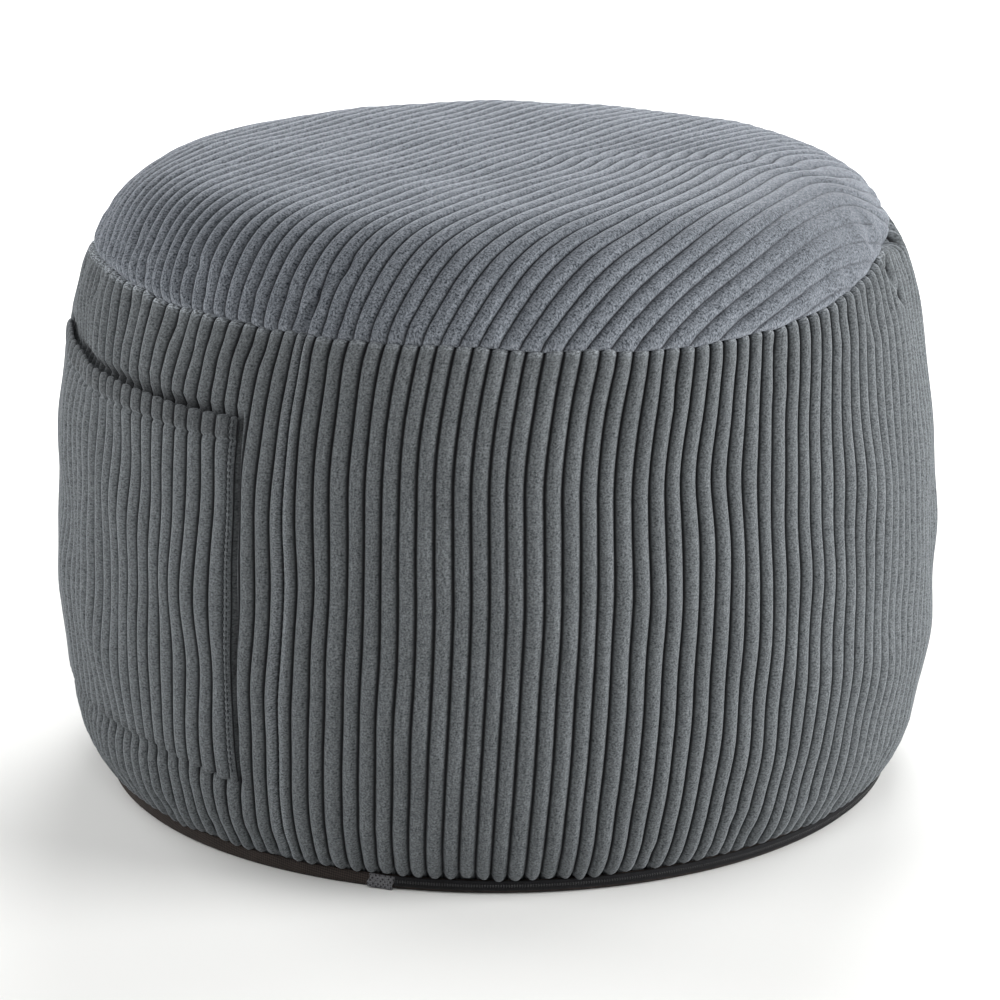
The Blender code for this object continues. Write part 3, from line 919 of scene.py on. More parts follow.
def band_azimuth(across, height):
    """Where a line of the band runs at this height: it leans, is pulled on by the seam, and wanders."""
    placed = join_spacing(woven_places(across, BAND_WALES, seed=21), height)
    azimuth = JOIN_AZIMUTH + placed * 2 * np.pi / BAND_WALES
    turn = TURN_DEGREES - LEAN_DEGREES * np.clip(1.0 - height / LEAN_TO, 0.0, 1.0) ** LEAN_CURVE
    near_seam = np.clip((height - PULL_FROM) / (SEAM_HEIGHT - PULL_FROM), 0.0, PULL_MOST)
    pull = PULL_DEGREES * near_seam**PULL_CURVE
    share = np.interp(np.degrees(wrapped(azimuth)), column(PULL_ROUND, "azimuth"), column(PULL_ROUND, "share"))
    azimuth = azimuth + np.radians(turn + pull * share)
    here = around(side_radius(height), azimuth, height * WANDER_STRETCH)
    return wrapped(azimuth + WANDER / (WIDTH / 2) * ripples(here, WANDER_SIZE, seed=22))


def make_side_band():
    bm = bmesh.new()
    lines = wale_columns(BAND_WALES)
    rows = len(FOOT_STEPS) + BAND_MIDDLE_ROWS + len(SEAM_STEPS)
    columns, row = flat_cut(bm, len(lines), rows)
    across = lines[columns]
    rise = wale_rise(across)

    rough = row_heights(row, rows, FOOT_STEPS, SEAM_STEPS, FOOT_HEIGHT, SEAM_HEIGHT)
    azimuth = band_azimuth(across, rough)
    foot_ring = around(np.full_like(azimuth, WIDTH / 2), azimuth, 0.0 * azimuth)
    steps = FOOT_UNEVEN * ripples(foot_ring, FOOT_UNEVEN_SIZE, seed=23)
    foot = FOOT_HEIGHT - FOOT_DROP + steps + FOOT_NOTCH * (1.0 - rise)
    top = seam_line(azimuth) - seam_look(azimuth, "notch") * (1.0 - rise)
    height = row_heights(row, rows, FOOT_STEPS, SEAM_STEPS, foot, top)

    joined = np.minimum(across, BAND_WALES - across)
    depth = WALE_DEPTH * (1.0 - rise)
    depth = depth + (JOIN_DEPTH - WALE_DEPTH) * np.clip(1.0 - joined / JOIN_REACH, 0.0, 1.0)
    tucked = rounded_end(top - height, seam_look(azimuth, "band_reach"))
    depth = depth + (seam_look(azimuth, "tuck") + 0.5 * WALE_DEPTH - 0.5 * depth) * tucked
    depth = depth + (FOOT_TUCK - 0.5 * depth) * rounded_end(height - foot, FOOT_REACH)
    surface, filling, out = side_surface(azimuth, height)
    ditch = pocket_ditch(azimuth, height)
    depth = depth + fold_depth(surface, BAND_FOLDS) + ditch
    raised = filling - depth - CLOTH * pocket_press(azimuth, height)
    places = around(side_radius(height), azimuth, height) + out * raised[:, None]

    # Painted pale under the seam: frayed pile and painted highlight on the wale ends.
    fuzz_and_highlight = SEAM_FUZZ_AND_HIGHLIGHT + LEFT_FUZZ_AND_HIGHLIGHT * smooth_step(-azimuth, *LEFT_FUZZ_AND_HIGHLIGHT_FROM)
    near_seam = fuzz_and_highlight * (1.0 - smooth_step(top - height, *SEAM_FUZZ_AND_HIGHLIGHT_BAND))
    near_join = JOIN_FUZZ * (1.0 - smooth_step(joined, *JOIN_FUZZ_WALES))
    # The ditches over the pocket's mouth and beside its edge get painted shade: their pile is painted dark.
    wear_and_painted_light = np.maximum(near_seam, near_join) - DITCH_PAINTED_SHADE * np.minimum(ditch / MOUTH_DITCH, 1.0)
    wales = np.stack([across, height / WALE_PITCH], axis=-1)
    lay(bm, places, wales, wear_and_painted_light, 0.0 * wear_and_painted_light)
    grid = np.zeros((rows, len(lines), 3))
    grid[row, columns] = places
    bmesh.ops.remove_doubles(bm, verts=bm.verts, dist=JOIN_MERGE)

    ring = open_edges(bm)
    upper = [edge for edge in ring if edge.verts[0].co.z > HEIGHT / 2]
    lower = [edge for edge in ring if edge.verts[0].co.z < HEIGHT / 2]
    upper = turn_in(bm, upper, lambda azimuth: (SHELF_RADIUS, seam_height(azimuth) - BAND_SHELF_DROP))
    upper = turn_in(bm, upper, lambda azimuth: (LEVEL_RADIUS, SEAM_HEIGHT - BAND_SHELF_DROP))
    bmesh.ops.holes_fill(bm, edges=upper)
    lower = turn_in(bm, lower, lambda azimuth: (PLINTH_RADIUS, FOOT_HEIGHT))
    lower = turn_in(bm, lower, lambda azimuth: (PLINTH_RADIUS, PLINTH_FOOT))
    bmesh.ops.holes_fill(bm, edges=lower)
    return finished(bm, "side_band_cover", BAND_CORDUROY, "band_corduroy", "side_band"), grid


side_band, band_grid = make_side_band()

# %% [markdown]
# ## The top
#
# The top is a flat round of the same corduroy, laid over the filling with its wales turned
# askew. Every point keeps its distance along the cloth from the middle, so the straight wales
# bend of themselves where the dome falls away. Towards the right end the pile is flattened by
# use, so the grooves there are shallow, and the cloth is pulled forward over the rim.

# %% Sizes of the top
TOP_WALES = 53
WALE_TURN = np.radians(57)
TOP_ROWS = 111
TOP_WANDER = 0.0006
TOP_WANDER_SIZE = 0.09
TOP_LUMPS = 0.0004
TOP_LUMP_SIZE = 0.07
TOP_LUMPS_START = 0.03
TOP_EVEN_RIM = 0.04
FLAT_PLACE = {"azimuth": np.radians(62), "station": 1.10, "across": 0.085, "share": 0.85}
TOP_WALE_DEPTH = 0.0027
PRESSED_SHARE = 0.8
PRESSED_SINKS = 0.0006
END_PULL = 0.042
END_PULL_AZIMUTH = np.radians(84)
END_PULL_WIDTH = np.radians(26)
END_PULL_SPAN = (0.66, 1.05)
RIM_DROP = 0.0012
RIM_DROP_REACH = 0.004
RIM_FUZZ = 0.25
RIM_FUZZ_BAND = (0.0008, 0.0030)
PRESSED_DARK = 0.14
TOP_SHELF_DROP = 0.0050
RIM_MOST = 0.999


def flattened(points):
    """1 where use has pressed the pile of the top flat, 0 away from it."""
    azimuth, station = FLAT_PLACE["azimuth"], FLAT_PLACE["station"]
    middle = body_point(np.array([azimuth]), np.array([station]))[0][0]
    away = np.linalg.norm(points - middle, axis=-1) / FLAT_PLACE["across"]
    return FLAT_PLACE["share"] * np.exp(-(away**2))


# %% The top
def make_top_panel():
    bm = bmesh.new()
    lines = wale_columns(TOP_WALES)
    columns, row = flat_cut(bm, len(lines), TOP_ROWS)
    across = lines[columns]
    # Every line of the cut runs forward over the flat round, and the outermost two lie on its rim.
    even = across / TOP_WALES * 2.0 - 1.0
    steps = TOP_ROWS - 1
    along = np.sin(np.pi / 2 * (2.0 * row / steps - 1.0))
    sideways = CUT_RADIUS * even
    forward = along * np.sqrt(np.maximum(CUT_RADIUS**2 - sideways**2, 0.0))
    last = (columns == 0) | (columns == len(lines) - 1)
    next_angle = np.arccos(1.0 - 2.0 * WALE_LINES[1] / TOP_WALES)
    edge_angle = next_angle * steps / (steps + 2) * (2.0 * row / steps - 1.0)
    sideways = np.where(last, np.sign(even) * CUT_RADIUS * np.cos(edge_angle), sideways)
    forward = np.where(last, CUT_RADIUS * np.sin(edge_angle), forward)
    rim = last | (row == 0) | (row == steps)

    # The loom's unevenness, then the turn of the wales and the pull at the right end.
    flat = np.stack([sideways, forward, 0.0 * forward], axis=-1)
    inside = 1.0 - np.hypot(sideways, forward) / CUT_RADIUS
    woven = (woven_places(across, TOP_WALES, seed=31) - across) * 2 * CUT_RADIUS / TOP_WALES
    wander = woven + TOP_WANDER * ripples(flat, TOP_WANDER_SIZE, seed=32)
    sideways = sideways + wander * smooth_step(inside, 0.0, TOP_EVEN_RIM)
    flat_x = forward * np.cos(WALE_TURN) + sideways * np.sin(WALE_TURN)
    flat_y = forward * np.sin(WALE_TURN) - sideways * np.cos(WALE_TURN)
    near_end = np.exp(-((wrapped(np.arctan2(flat_x, -flat_y) - END_PULL_AZIMUTH) / END_PULL_WIDTH) ** 2))
    flat_y = flat_y - END_PULL * near_end * smooth_step(np.hypot(flat_x, flat_y) / CUT_RADIUS, *END_PULL_SPAN)
    share = np.where(rim, 1.0, np.minimum(np.hypot(flat_x, flat_y) / CUT_RADIUS, RIM_MOST))
    azimuth = np.arctan2(flat_x, -flat_y)
    surface, out = body_point(azimuth, 2.0 - share)

    pressed = flattened(surface)
    rise = wale_rise(across)
    depth = TOP_WALE_DEPTH * (1.0 - rise) * (1.0 - PRESSED_SHARE * pressed) + PRESSED_SINKS * pressed
    depth = depth + fold_depth(surface, TOP_FOLDS)
    distance = (1.0 - share) * crown_length(seam_height(azimuth))
    at_seam = rounded_end(distance, seam_look(azimuth, "top_reach"))
    tuck = seam_look(azimuth, "tuck") + seam_look(azimuth, "rim")
    depth = depth + (tuck - depth) * at_seam
    lumps = TOP_LUMPS * ripples(surface, TOP_LUMP_SIZE, seed=33) * smooth_step(distance, 0.0, TOP_LUMPS_START)
    raised = swell(azimuth, 2.0 - share) + lumps - depth
    places = surface + out * raised[:, None]
    drop = seam_line(azimuth) - seam_height(azimuth) - RIM_DROP
    places[:, 2] += drop * (1.0 - smooth_step(distance, 0.0, RIM_DROP_REACH))

    wear_and_painted_light = RIM_FUZZ * (1.0 - smooth_step(distance, *RIM_FUZZ_BAND)) - PRESSED_DARK * pressed
    wales = np.stack([across, forward / WALE_PITCH], axis=-1)
    lay(bm, places, wales, wear_and_painted_light, pressed)
    ring = turn_in(bm, open_edges(bm), lambda azimuth: (SHELF_RADIUS, seam_height(azimuth) - TOP_SHELF_DROP))
    ring = turn_in(bm, ring, lambda azimuth: (LEVEL_RADIUS, SEAM_HEIGHT - TOP_SHELF_DROP))
    bmesh.ops.holes_fill(bm, edges=ring)
    return finished(bm, "top_panel_cover", TOP_CORDUROY_PAINTED_LIGHTER, "top_corduroy", "top_panel")


top_panel = make_top_panel()

# %% [markdown]
# ## The pocket
#
# The pocket is one flat patch of corduroy on the left of the band. Its mouth is a hem, folded
# over and stitched down about a finger's width below, so it is double there and a little proud.
# The other three edges are turned under and sewn flat. It is a sheet, so it gets both faces and
# a real thickness. Its wales were cut apart from the band's, so they don't meet them, and the
# sewing lets them wander more.

# %% Sizes of the pocket
POCKET_WALES = 25
POCKET_NARROW = 0.5
POCKET_BOTTOM = table(
    "azimuth height",
    (-89, 0.0600),
    (-61, 0.0590),
    (-49, 0.0612),
    (-40, 0.0567),
    (-33, 0.0510),
)
MOUTH_STEPS = np.array(
    [0.0195, 0.0165, 0.0148, 0.0136, 0.0128, 0.0122, 0.0116, 0.0107]
    + [0.0090, 0.0066, 0.0044, 0.0029, 0.0017, 0.0009, 0.0003, 0.0]
)
BOTTOM_STEPS = np.array([0.0, 0.0003, 0.0009, 0.0018, 0.0030, 0.0046, 0.0068, 0.0098])
POCKET_MIDDLE_ROWS = 30
HEM = 0.0122
HEM_FADE = 0.0025
HEM_PROUD = 0.0005
HEM_FLATTER = 0.25
HEM_DARK = 0.32
HEM_DIP = 0.0009
HEM_DIP_REACH = 0.0012
MOUTH_NOTCH = 0.0016
BOTTOM_NOTCH = 0.0016
POCKET_CLEAR = 0.0004
POCKET_GAPE = 0.0022
GAPE_FULLNESS = 0.7
GAPE_FADE = 0.060
POCKET_WANDER = 0.0006
POCKET_WANDER_SIZE = 0.055
POCKET_WANDER_STRETCH = 0.8
EDGE_REACH = 0.0030
EDGE_CLOTH = 0.0004
MOUTH_REACH = 0.0042
BACK_CLOTH = 0.0006
LEAST_CLOTH = 0.0002
POCKET_FUZZ = 0.1
BOTTOM_DARK = 0.4
BOTTOM_DARK_REACH = 0.003


def pocket_spacing(across):
    """The pocket's lines: the last wale is cut narrow by the turned edge."""
    whole = POCKET_WALES - 1.0
    last = whole + (across - whole) * POCKET_NARROW
    return np.where(across > whole, last, across) / (whole + POCKET_NARROW)


def pocket_azimuth(across, height):
    share = pocket_spacing(woven_places(across, POCKET_WALES, seed=41))
    azimuth = POCKET_LEFT + share * (pocket_right_edge(height) - POCKET_LEFT)
    here = around(side_radius(height), azimuth, height * POCKET_WANDER_STRETCH)
    edge = np.sin(np.pi * share) ** 0.5
    return azimuth + edge * POCKET_WANDER / (WIDTH / 2) * ripples(here, POCKET_WANDER_SIZE, seed=42)


def pocket_gape(azimuth, from_mouth):
    """How far the pocket stands off the band: most in the middle of its mouth."""
    share = np.clip((azimuth - POCKET_LEFT) / (POCKET_RIGHT - POCKET_LEFT), 0.0, 1.0)
    near_mouth = 1.0 - smooth_step(from_mouth, 0.0, GAPE_FADE)
    return POCKET_GAPE * np.sin(np.pi * share) ** GAPE_FULLNESS * near_mouth


# %% The pocket
def make_pocket():
    bm = bmesh.new()
    lines = wale_columns(POCKET_WALES)
    rows = len(BOTTOM_STEPS) + POCKET_MIDDLE_ROWS + len(MOUTH_STEPS)
    columns, row = flat_cut(bm, len(lines), rows)
    across = lines[columns]
    rise = wale_rise(across)
    share = middle_share(row, rows, BOTTOM_STEPS, MOUTH_STEPS)
    lowest, highest = POCKET_BOTTOM[1]["height"], POCKET_MOUTH[1]["height"]
    azimuth = pocket_azimuth(across, lowest + share * (highest - lowest))
    bottom = height_along(azimuth, POCKET_BOTTOM) + BOTTOM_NOTCH * (1.0 - rise)
    mouth = height_along(azimuth, POCKET_MOUTH) - MOUTH_NOTCH * (1.0 - rise)
    height = row_heights(row, rows, BOTTOM_STEPS, MOUTH_STEPS, bottom, mouth)

    below_mouth, above_bottom = mouth - height, height - bottom
    _, filling, out = side_surface(azimuth, height)
    surface = around(side_radius(height), azimuth, height) + out * filling[:, None]
    stands = POCKET_CLEAR + pocket_gape(azimuth, below_mouth) - CLOTH
    in_hem = 1.0 - smooth_step(below_mouth, HEM - HEM_FADE, HEM)
    stitched = np.exp(-(((below_mouth - HEM) / HEM_DIP_REACH) ** 2))
    depth = WALE_DEPTH * (1.0 - rise) * (1.0 - HEM_FLATTER * in_hem)
    depth = depth - HEM_PROUD * in_hem + HEM_DIP * stitched
    side_gap = np.minimum(across, (POCKET_WALES - across) * POCKET_NARROW) * WALE_PITCH
    folded = np.maximum(rounded_end(above_bottom, EDGE_REACH), rounded_end(side_gap, EDGE_REACH))
    depth = depth + (CLOTH - EDGE_CLOTH - depth) * folded
    mouth_round = rounded_end(below_mouth, MOUTH_REACH)
    depth = depth + (0.5 * CLOTH - depth) * mouth_round
    outer = surface + out * (stands + CLOTH - depth)[:, None]
    thick = BACK_CLOTH + (0.5 * CLOTH - BACK_CLOTH) * mouth_round
    inner = surface + out * (stands - BACK_CLOTH + np.minimum(thick, CLOTH - depth - LEAST_CLOTH))[:, None]

    wear_and_painted_light = POCKET_FUZZ - BOTTOM_DARK * np.exp(-((above_bottom / BOTTOM_DARK_REACH) ** 2)) - HEM_DARK * in_hem
    wales = np.stack([across, height / WALE_PITCH], axis=-1)
    lay(bm, outer, wales, wear_and_painted_light, 0.0 * wear_and_painted_light)
    grid = np.zeros((rows, len(lines), 3))
    grid[row, columns] = outer
    front = list(bm.verts) + list(bm.edges) + list(bm.faces)
    behind = bmesh.ops.duplicate(bm, geom=front)["vert_map"]
    for vert, place in zip(front[: len(inner)], inner):
        behind[vert].co = place
    bmesh.ops.bridge_loops(bm, edges=open_edges(bm))
    return finished(bm, "pocket_patch", POCKET_CORDUROY, "pocket_corduroy", "pocket"), grid


pocket, pocket_grid = make_pocket()

# %% [markdown]
# ## The foot and its stuffs
#
# Under the wales' ends shows a strip of plain woven base cloth, turned up from the underside. It
# is a dish of thin cloth, so its section is spun round the upright axis, with both its faces in
# one profile. A zip lets the filling in and out. It starts under a small dotted tab and runs
# round to the back: a woven tape with a closed coil, which is hundreds of small turns of nylon.

# %% Woven and nylon materials
# Real yarns here are 0.2 to 0.4 mm wide, too fine to show in the render. Each weave below is drawn
# coarser, with yarns of 0.4 to 1.3 mm, so that its cloth doesn't look like plain plastic.
WEAVE_GRAINS = table(
    "name size_mm stretch",
    ("yarns", 1.3, (1.0, 1.0, 1.0)),
    ("patches", 12.0, (1.0, 1.0, 1.0)),
)
YARN_RELIEF = 0.0003
WEAVE_TURN = np.radians(38)
CHECK_SHARE = 0.45
WEAR_SHARE = 0.30
WEAVE_RANGE = (0.25, 0.70)
# On coordinates in metres this makes rubbed patches of about 1.1 mm, less than one turn of the coil.
RUBBED_SCALE = 900.0
RUBBED_RANGE = (0.45, 0.75)
TAB_YARN_MM = 0.7
DOT_TURN = np.radians(45)
DOT_UNEVEN = 0.25
DOT_EDGE = (0.22, 0.34)
LEVEL_FROM = 0.7


def flat_map(bm):
    """A UV map in wales: laid flat where the cloth lies level, and rolled off where it stands up."""
    cloth_map = bm.loops.layers.uv.new("cloth")
    for face in bm.faces:
        middle = np.arctan2(*face.calc_center_median().xy)
        level = abs(face.normal.z) > LEVEL_FROM
        for loop in face.loops:
            x, y, z = loop.vert.co
            turn = middle + wrapped(np.arctan2(x, y) - middle)
            rolled = (turn * WIDTH / 2, z)
            loop[cloth_map].uv = np.array((x, y) if level else rolled) / WALE_PITCH


def woven_cloth(name, light, dark, yarn_mm):
    """A plain weave: light where a yarn comes up, dark where it goes under."""
    material, tree, shader = new_material(name)
    place = add_node(tree, "UVMap", uv_map="cloth")
    grains = add_grains(tree, place, WEAVE_GRAINS)
    scale = [WALE_PITCH * 1000 / yarn_mm] * 3
    turned = add_node(tree, "Mapping", {"Vector": place, "Rotation": (0.0, 0.0, WEAVE_TURN), "Scale": scale})
    checks = add_node(tree, "TexChecker", {"Vector": turned, "Scale": 1.0}, "Fac")
    height = add_node(tree, "Mix", {"Factor": CHECK_SHARE, "A": grains["yarns"], "B": checks})
    worn = add_node(tree, "Mix", {"Factor": WEAR_SHARE, "A": height, "B": grains["patches"]})
    low, high = WEAVE_RANGE
    share = add_node(tree, "MapRange", {"Value": worn, "From Min": low, "From Max": high})
    colour = add_node(tree, "Mix", {"Factor": share, FIRST: dark, SECOND: light}, MIXED, data_type="RGBA")
    tree.links.new(colour, shader.inputs["Base Color"])
    bump = add_node(tree, "Bump", {"Height": height, "Strength": 0.8, "Distance": YARN_RELIEF})
    tree.links.new(bump, shader.inputs["Normal"])
    shader.inputs["Roughness"].default_value = 0.88
    shader.inputs["Specular IOR Level"].default_value = 0.25
    return material


def nylon(name, light, dark):
    """Drawn nylon: smooth, with a soft gloss, and a little paler where it is rubbed."""
    material, tree, shader = new_material(name)
    place = add_node(tree, "TexCoord", output="Object")
    rubbed = add_node(tree, "TexNoise", {"Vector": place, "Scale": RUBBED_SCALE, "Detail": 2.0})
    low, high = RUBBED_RANGE
    share = add_node(tree, "MapRange", {"Value": rubbed, "From Min": low, "From Max": high})
    colour = add_node(tree, "Mix", {"Factor": share, FIRST: dark, SECOND: light}, MIXED, data_type="RGBA")
    tree.links.new(colour, shader.inputs["Base Color"])
    shader.inputs["Roughness"].default_value = 0.38
    shader.inputs["IOR"].default_value = 1.53
    return material


def dotted_cloth(name, ground, shade, dot, dot_mm):
    """A plain weave with small dark knots in rows."""
    material = woven_cloth(name, ground, shade, TAB_YARN_MM)
    tree, shader = material.node_tree, material.node_tree.nodes["Principled BSDF"]
    place = add_node(tree, "UVMap", uv_map="cloth")
    scale = [WALE_PITCH * 1000 / dot_mm] * 3
    turned = add_node(tree, "Mapping", {"Vector": place, "Rotation": (0.0, 0.0, DOT_TURN), "Scale": scale})
    knots = add_node(tree, "TexVoronoi", {"Vector": turned, "Scale": 1.0, "Randomness": DOT_UNEVEN})
    low, high = DOT_EDGE
    clear = add_node(tree, "MapRange", {"Value": knots, "From Min": low, "From Max": high})
    weave = shader.inputs["Base Color"].links[0].from_socket
    colour = add_node(tree, "Mix", {"Factor": clear, FIRST: dot, SECOND: weave}, MIXED, data_type="RGBA")
    tree.links.new(colour, shader.inputs["Base Color"])
    return material


# Plain woven polyester, piece-dyed: a dry, dark cloth whose yarns break the light into specks.
BASE_WEAVE = woven_cloth("plain_woven_base_cloth", "#3a322e", "#141110", 1.0)
# Polyester tape, woven narrow and dyed black: nearly black, flat and matt.
TAPE_WEAVE = woven_cloth("woven_zip_tape", "#1d1d20", "#060607", 0.6)
# Nylon, drawn to a wire and wound: black with a small bright point on every turn.
COIL_NYLON = nylon("drawn_nylon_coil", "#1c1c1f", "#070708")
# Plain woven cotton with knots woven in: a mid grey that shows dark dots, one every 2.2 mm.
TAB_WEAVE = dotted_cloth("dotted_woven_tab", "#6f6f72", "#444447", "#2c2c2f", 2.2)
# Polyester thread, spun and twisted: small dull dark flecks, a little rougher than the pile.
THREAD = woven_cloth("dark_spun_polyester_thread", "#4c4f52", "#242628", 0.4)
print("materials", BASE_WEAVE.name, TAPE_WEAVE.name, COIL_NYLON.name, TAB_WEAVE.name, THREAD.name)

# %% [markdown]
# ## Stitches
#
# The thread sinks into the pile, so only small dark knots of it show: down the upright join, in
# two rows beside the pocket's edge, and in the grooves along the hem and the pocket's bottom. One
# knot is a small bead of a few dozen faces, because it is repeated hundreds of times. Each row
# follows the grid of the cloth that it holds.

# %% Stitches
JOIN_STITCH = 0.0047
EDGE_STITCH = 0.0034
KNOT_LONG = 0.0011
KNOT_THICK = 0.0005
KNOT_SEGMENTS = 6
KNOT_RINGS = 4
KNOT_LIFT = 0.0004
JOIN_FREE_ROWS = 4
EDGE_LINES = (3, 5)
EDGE_ROWS_BELOW = 2
EDGE_ROWS_OVER_HEM = 8
BOTTOM_KNOTS = 0.0046


def bead(bm, place, upright, long, thick):
    """One knot: a small rounded bead that lies upright or level on the side."""
    made = bmesh.ops.create_uvsphere(bm, u_segments=KNOT_SEGMENTS, v_segments=KNOT_RINGS, radius=1.0)["verts"]
    out = place * [1.0, 1.0, 0.0] / np.hypot(*place[:2])
    level = np.cross([0.0, 0.0, 1.0], out)
    ways = np.array([level, out, [0.0, 0.0, 1.0]] if upright else [[0.0, 0.0, -1.0], out, level])
    shape = np.array([vert.co[:] for vert in made]) * [thick, thick, long]
    for vert, point in zip(made, shape @ ways + place + out * KNOT_LIFT):
        vert.co = point


def along_line(line, pitch):
    """Places at an even pitch along a line of points."""
    lengths = np.append(0.0, np.cumsum(np.linalg.norm(np.diff(line, axis=0), axis=1)))
    wanted = np.arange(pitch / 2, lengths[-1], pitch)
    return np.stack([np.interp(wanted, lengths, line[:, axis]) for axis in range(3)], axis=-1)


def make_stitches(name, rows, slot):
    """A piece of many knots: rows of places, each upright or level."""
    bm = bmesh.new()
    for places, upright in rows:
        for place in places:
            bead(bm, place, upright, KNOT_LONG, KNOT_THICK)
    bmesh.ops.recalc_face_normals(bm, faces=bm.faces)
    flat_map(bm)
    return finished(bm, name, THREAD, slot)


WALE_STEP = len(WALE_LINES)
join_rows = [(along_line(band_grid[len(FOOT_STEPS) : -JOIN_FREE_ROWS, 0], JOIN_STITCH), True)]
join_stitches = make_stitches("join_stitches", join_rows, "band_corduroy")

last_wale = WALE_STEP * (POCKET_WALES - 1)
groove_columns = np.arange(0, last_wale + 1, WALE_STEP)
hem_row = len(BOTTOM_STEPS) + POCKET_MIDDLE_ROWS + int(np.argmin(np.abs(MOUTH_STEPS - HEM)))
knot_row = int(np.argmin(np.abs(BOTTOM_STEPS - BOTTOM_KNOTS)))
edge_rows = slice(len(BOTTOM_STEPS) - EDGE_ROWS_BELOW, hem_row + EDGE_ROWS_OVER_HEM)
pocket_rows = [(along_line(pocket_grid[edge_rows, last_wale + line], EDGE_STITCH), True) for line in EDGE_LINES]
pocket_rows += [(pocket_grid[level, groove_columns], False) for level in (hem_row, knot_row)]
pocket_stitches = make_stitches("pocket_stitches", pocket_rows, "pocket_corduroy")

# %% Sizes of the foot
WALL_RADIUS = 0.2246
WALL_WAVES = 0.0004
WALL_WAVES_SIZE = 0.020
WAVES_HEIGHTS = (0.001, 0.006)
WAVES_RADII = (0.21, 0.223)
POLE_MERGE = 0.00005
FOOT_STEPS_ROUND = 300
WALL_PROFILE = table(
    "radius height",
    (0.0, 0.0),
    (0.120, 0.0),
    (0.200, 0.0),
    (0.2210, 0.0),
    (0.2232, 0.0004),
    (0.2243, 0.0015),
    (0.2246, 0.0032),
    (0.2245, 0.0050),
    (0.2246, 0.0070),
    (0.2243, 0.0080),
    (0.2238, 0.0083),
    (0.2233, 0.0080),
    (0.2231, 0.0068),
    (0.2231, 0.0030),
    (0.2222, 0.0017),
    (0.2190, 0.0013),
    (0.120, 0.0013),
    (0.0, 0.0013),
)


# %% The base cloth
def spin_round(bm, section, angle, steps, whole):
    """Spin a section round the upright axis. A whole turn is merged where it meets itself."""
    middle, upright = (0, 0, 0), (0, 0, 1)
    bmesh.ops.spin(
        bm,
        geom=section,
        cent=middle,
        axis=upright,
        angle=angle,
        steps=steps,
        use_merge=whole,
        use_duplicate=False,
    )


def make_base_cloth():
    bm = bmesh.new()
    verts = [bm.verts.new((row["radius"], 0.0, row["height"])) for row in WALL_PROFILE]
    edges = [bm.edges.new(pair) for pair in zip(verts, verts[1:])]
    spin_round(bm, verts + edges, 2 * np.pi, FOOT_STEPS_ROUND, True)
    bmesh.ops.remove_doubles(bm, verts=bm.verts, dist=POLE_MERGE)
    points = np.array([vert.co[:] for vert in bm.verts])
    wall = smooth_step(points[:, 2], *WAVES_HEIGHTS)
    wall = wall * smooth_step(np.hypot(points[:, 0], points[:, 1]), *WAVES_RADII)
    waves = WALL_WAVES * ripples(points, WALL_WAVES_SIZE, seed=51) * wall
    for vert, place, wave in zip(bm.verts, points, waves):
        vert.co = Vector(place) + Vector((place[0], place[1], 0.0)).normalized() * (wave - WALL_WAVES * 0.5)
    bmesh.ops.recalc_face_normals(bm, faces=bm.faces)
    bm.normal_update()
    flat_map(bm)
    return finished(bm, "base_cloth_dish", BASE_WEAVE, "base_cloth", "base_panel")


base_cloth = make_base_cloth()

# %% The zip
ZIP_START = np.radians(-13.9)
ZIP_SWEEP = np.radians(180)
ZIP_STEPS = 200
ZIP_RADIUS = 0.2249
ZIP_PROFILE = table(
    "radius height",
    (0.0000, 0.0028),
    (0.0006, 0.0027),
    (0.0009, 0.0032),
    (0.0008, 0.0046),
    (0.0012, 0.0049),
    (0.0012, 0.0061),
    (0.0008, 0.0064),
    (0.0009, 0.0078),
    (0.0006, 0.0082),
    (0.0000, 0.0081),
)
COIL_PITCH = 0.0014
COIL_LONG = 0.00085
COIL_THICK = 0.00050
COIL_RADIUS = 0.2256
COIL_HEIGHT = 0.0055


def make_zip_tape():
    bm = bmesh.new()
    radii = ZIP_RADIUS + column(ZIP_PROFILE, "radius")
    section = [bm.verts.new(place) for place in around(radii, ZIP_START, column(ZIP_PROFILE, "height"))]
    face = bm.faces.new(section)
    spin_round(bm, [face] + list(face.edges) + section, ZIP_SWEEP, ZIP_STEPS, False)
    bm.normal_update()
    flat_map(bm)
    return finished(bm, "zip_woven_tape", TAPE_WEAVE, "zip", "zip_tape")


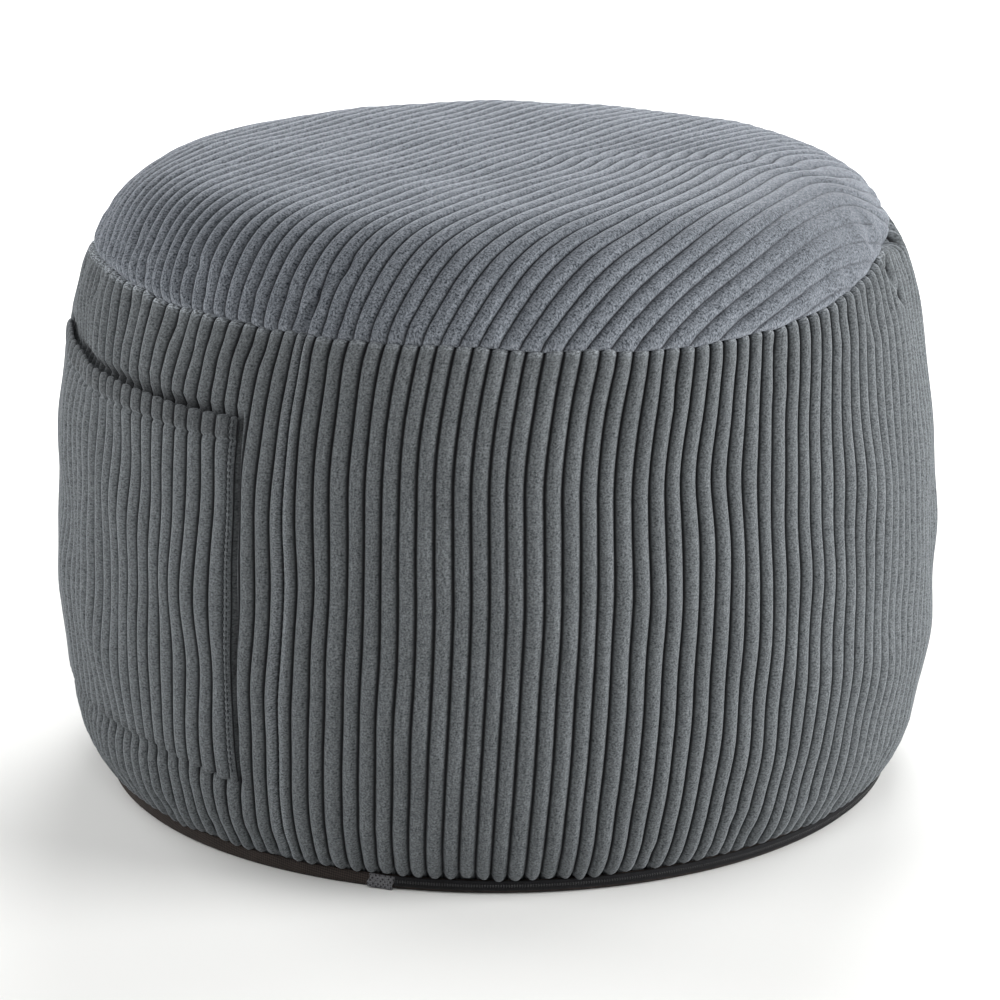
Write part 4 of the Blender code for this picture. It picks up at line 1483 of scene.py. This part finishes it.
def make_zip_coil():
    bm = bmesh.new()
    count = int(ZIP_SWEEP * ZIP_RADIUS / COIL_PITCH)
    for turn in range(count):
        azimuth = ZIP_START + (turn + 0.5) * COIL_PITCH / ZIP_RADIUS
        place = around(np.array(COIL_RADIUS), azimuth, COIL_HEIGHT)
        bead(bm, place, True, COIL_LONG, COIL_THICK)
    return finished(bm, "zip_nylon_coil", COIL_NYLON, "zip", "zip_tape")


zip_tape = make_zip_tape()
zip_coil = make_zip_coil()

# %% The dotted tab
TAB_AZIMUTH = np.radians(-15.7)
TAB_WIDTH = 0.0136
TAB_FOOT = 0.0007
TAB_TOP = 0.0083
TAB_SKEW = 0.0011
TAB_THICK = 0.0012
TAB_CUTS = 8
TAB_ROUND = 0.25
TAB_ROUND_POWER = 6
TAB_BEND = 0.0004
TAB_BEND_TURN = 5.0
TAB_TILT = 0.0005
TAB_BUCKLE = 0.00025
TAB_BUCKLE_TURNS = (4.0, 2.0)
TAB_CLEAR = 0.0001


def make_tab():
    """A small folded tab: a flat cut, rounded at its folds, skewed and buckled a little as it was sewn on."""
    bm = bmesh.new()
    bmesh.ops.create_cube(bm, size=1.0)
    bmesh.ops.subdivide_edges(bm, edges=bm.edges, cuts=TAB_CUTS, use_grid_fill=True)
    side, front, upright = (np.array([vert.co[:] for vert in bm.verts]) * 2.0).T
    bulge = 1.0 - TAB_ROUND * (np.abs(side) ** TAB_ROUND_POWER + np.abs(upright) ** TAB_ROUND_POWER)
    tall = TAB_TOP - TAB_FOOT
    bend = TAB_BEND * np.sin(TAB_BEND_TURN * upright)
    across = side * TAB_WIDTH / 2 + TAB_SKEW * upright + bend
    height = TAB_FOOT + tall / 2 + upright * tall / 2 - TAB_TILT * side
    buckle = TAB_BUCKLE * np.sin(TAB_BUCKLE_TURNS[0] * side + TAB_BUCKLE_TURNS[1] * upright)
    radius = ZIP_RADIUS + TAB_THICK / 2 - front * TAB_THICK / 2 * bulge + buckle + TAB_CLEAR
    for vert, place in zip(bm.verts, around(radius, TAB_AZIMUTH + across / WALL_RADIUS, height)):
        vert.co = place
    bmesh.ops.recalc_face_normals(bm, faces=bm.faces)
    flat_map(bm)
    return finished(bm, "dotted_tab", TAB_WEAVE, "cover_cloth", "zip_end_cover")


tab = make_tab()
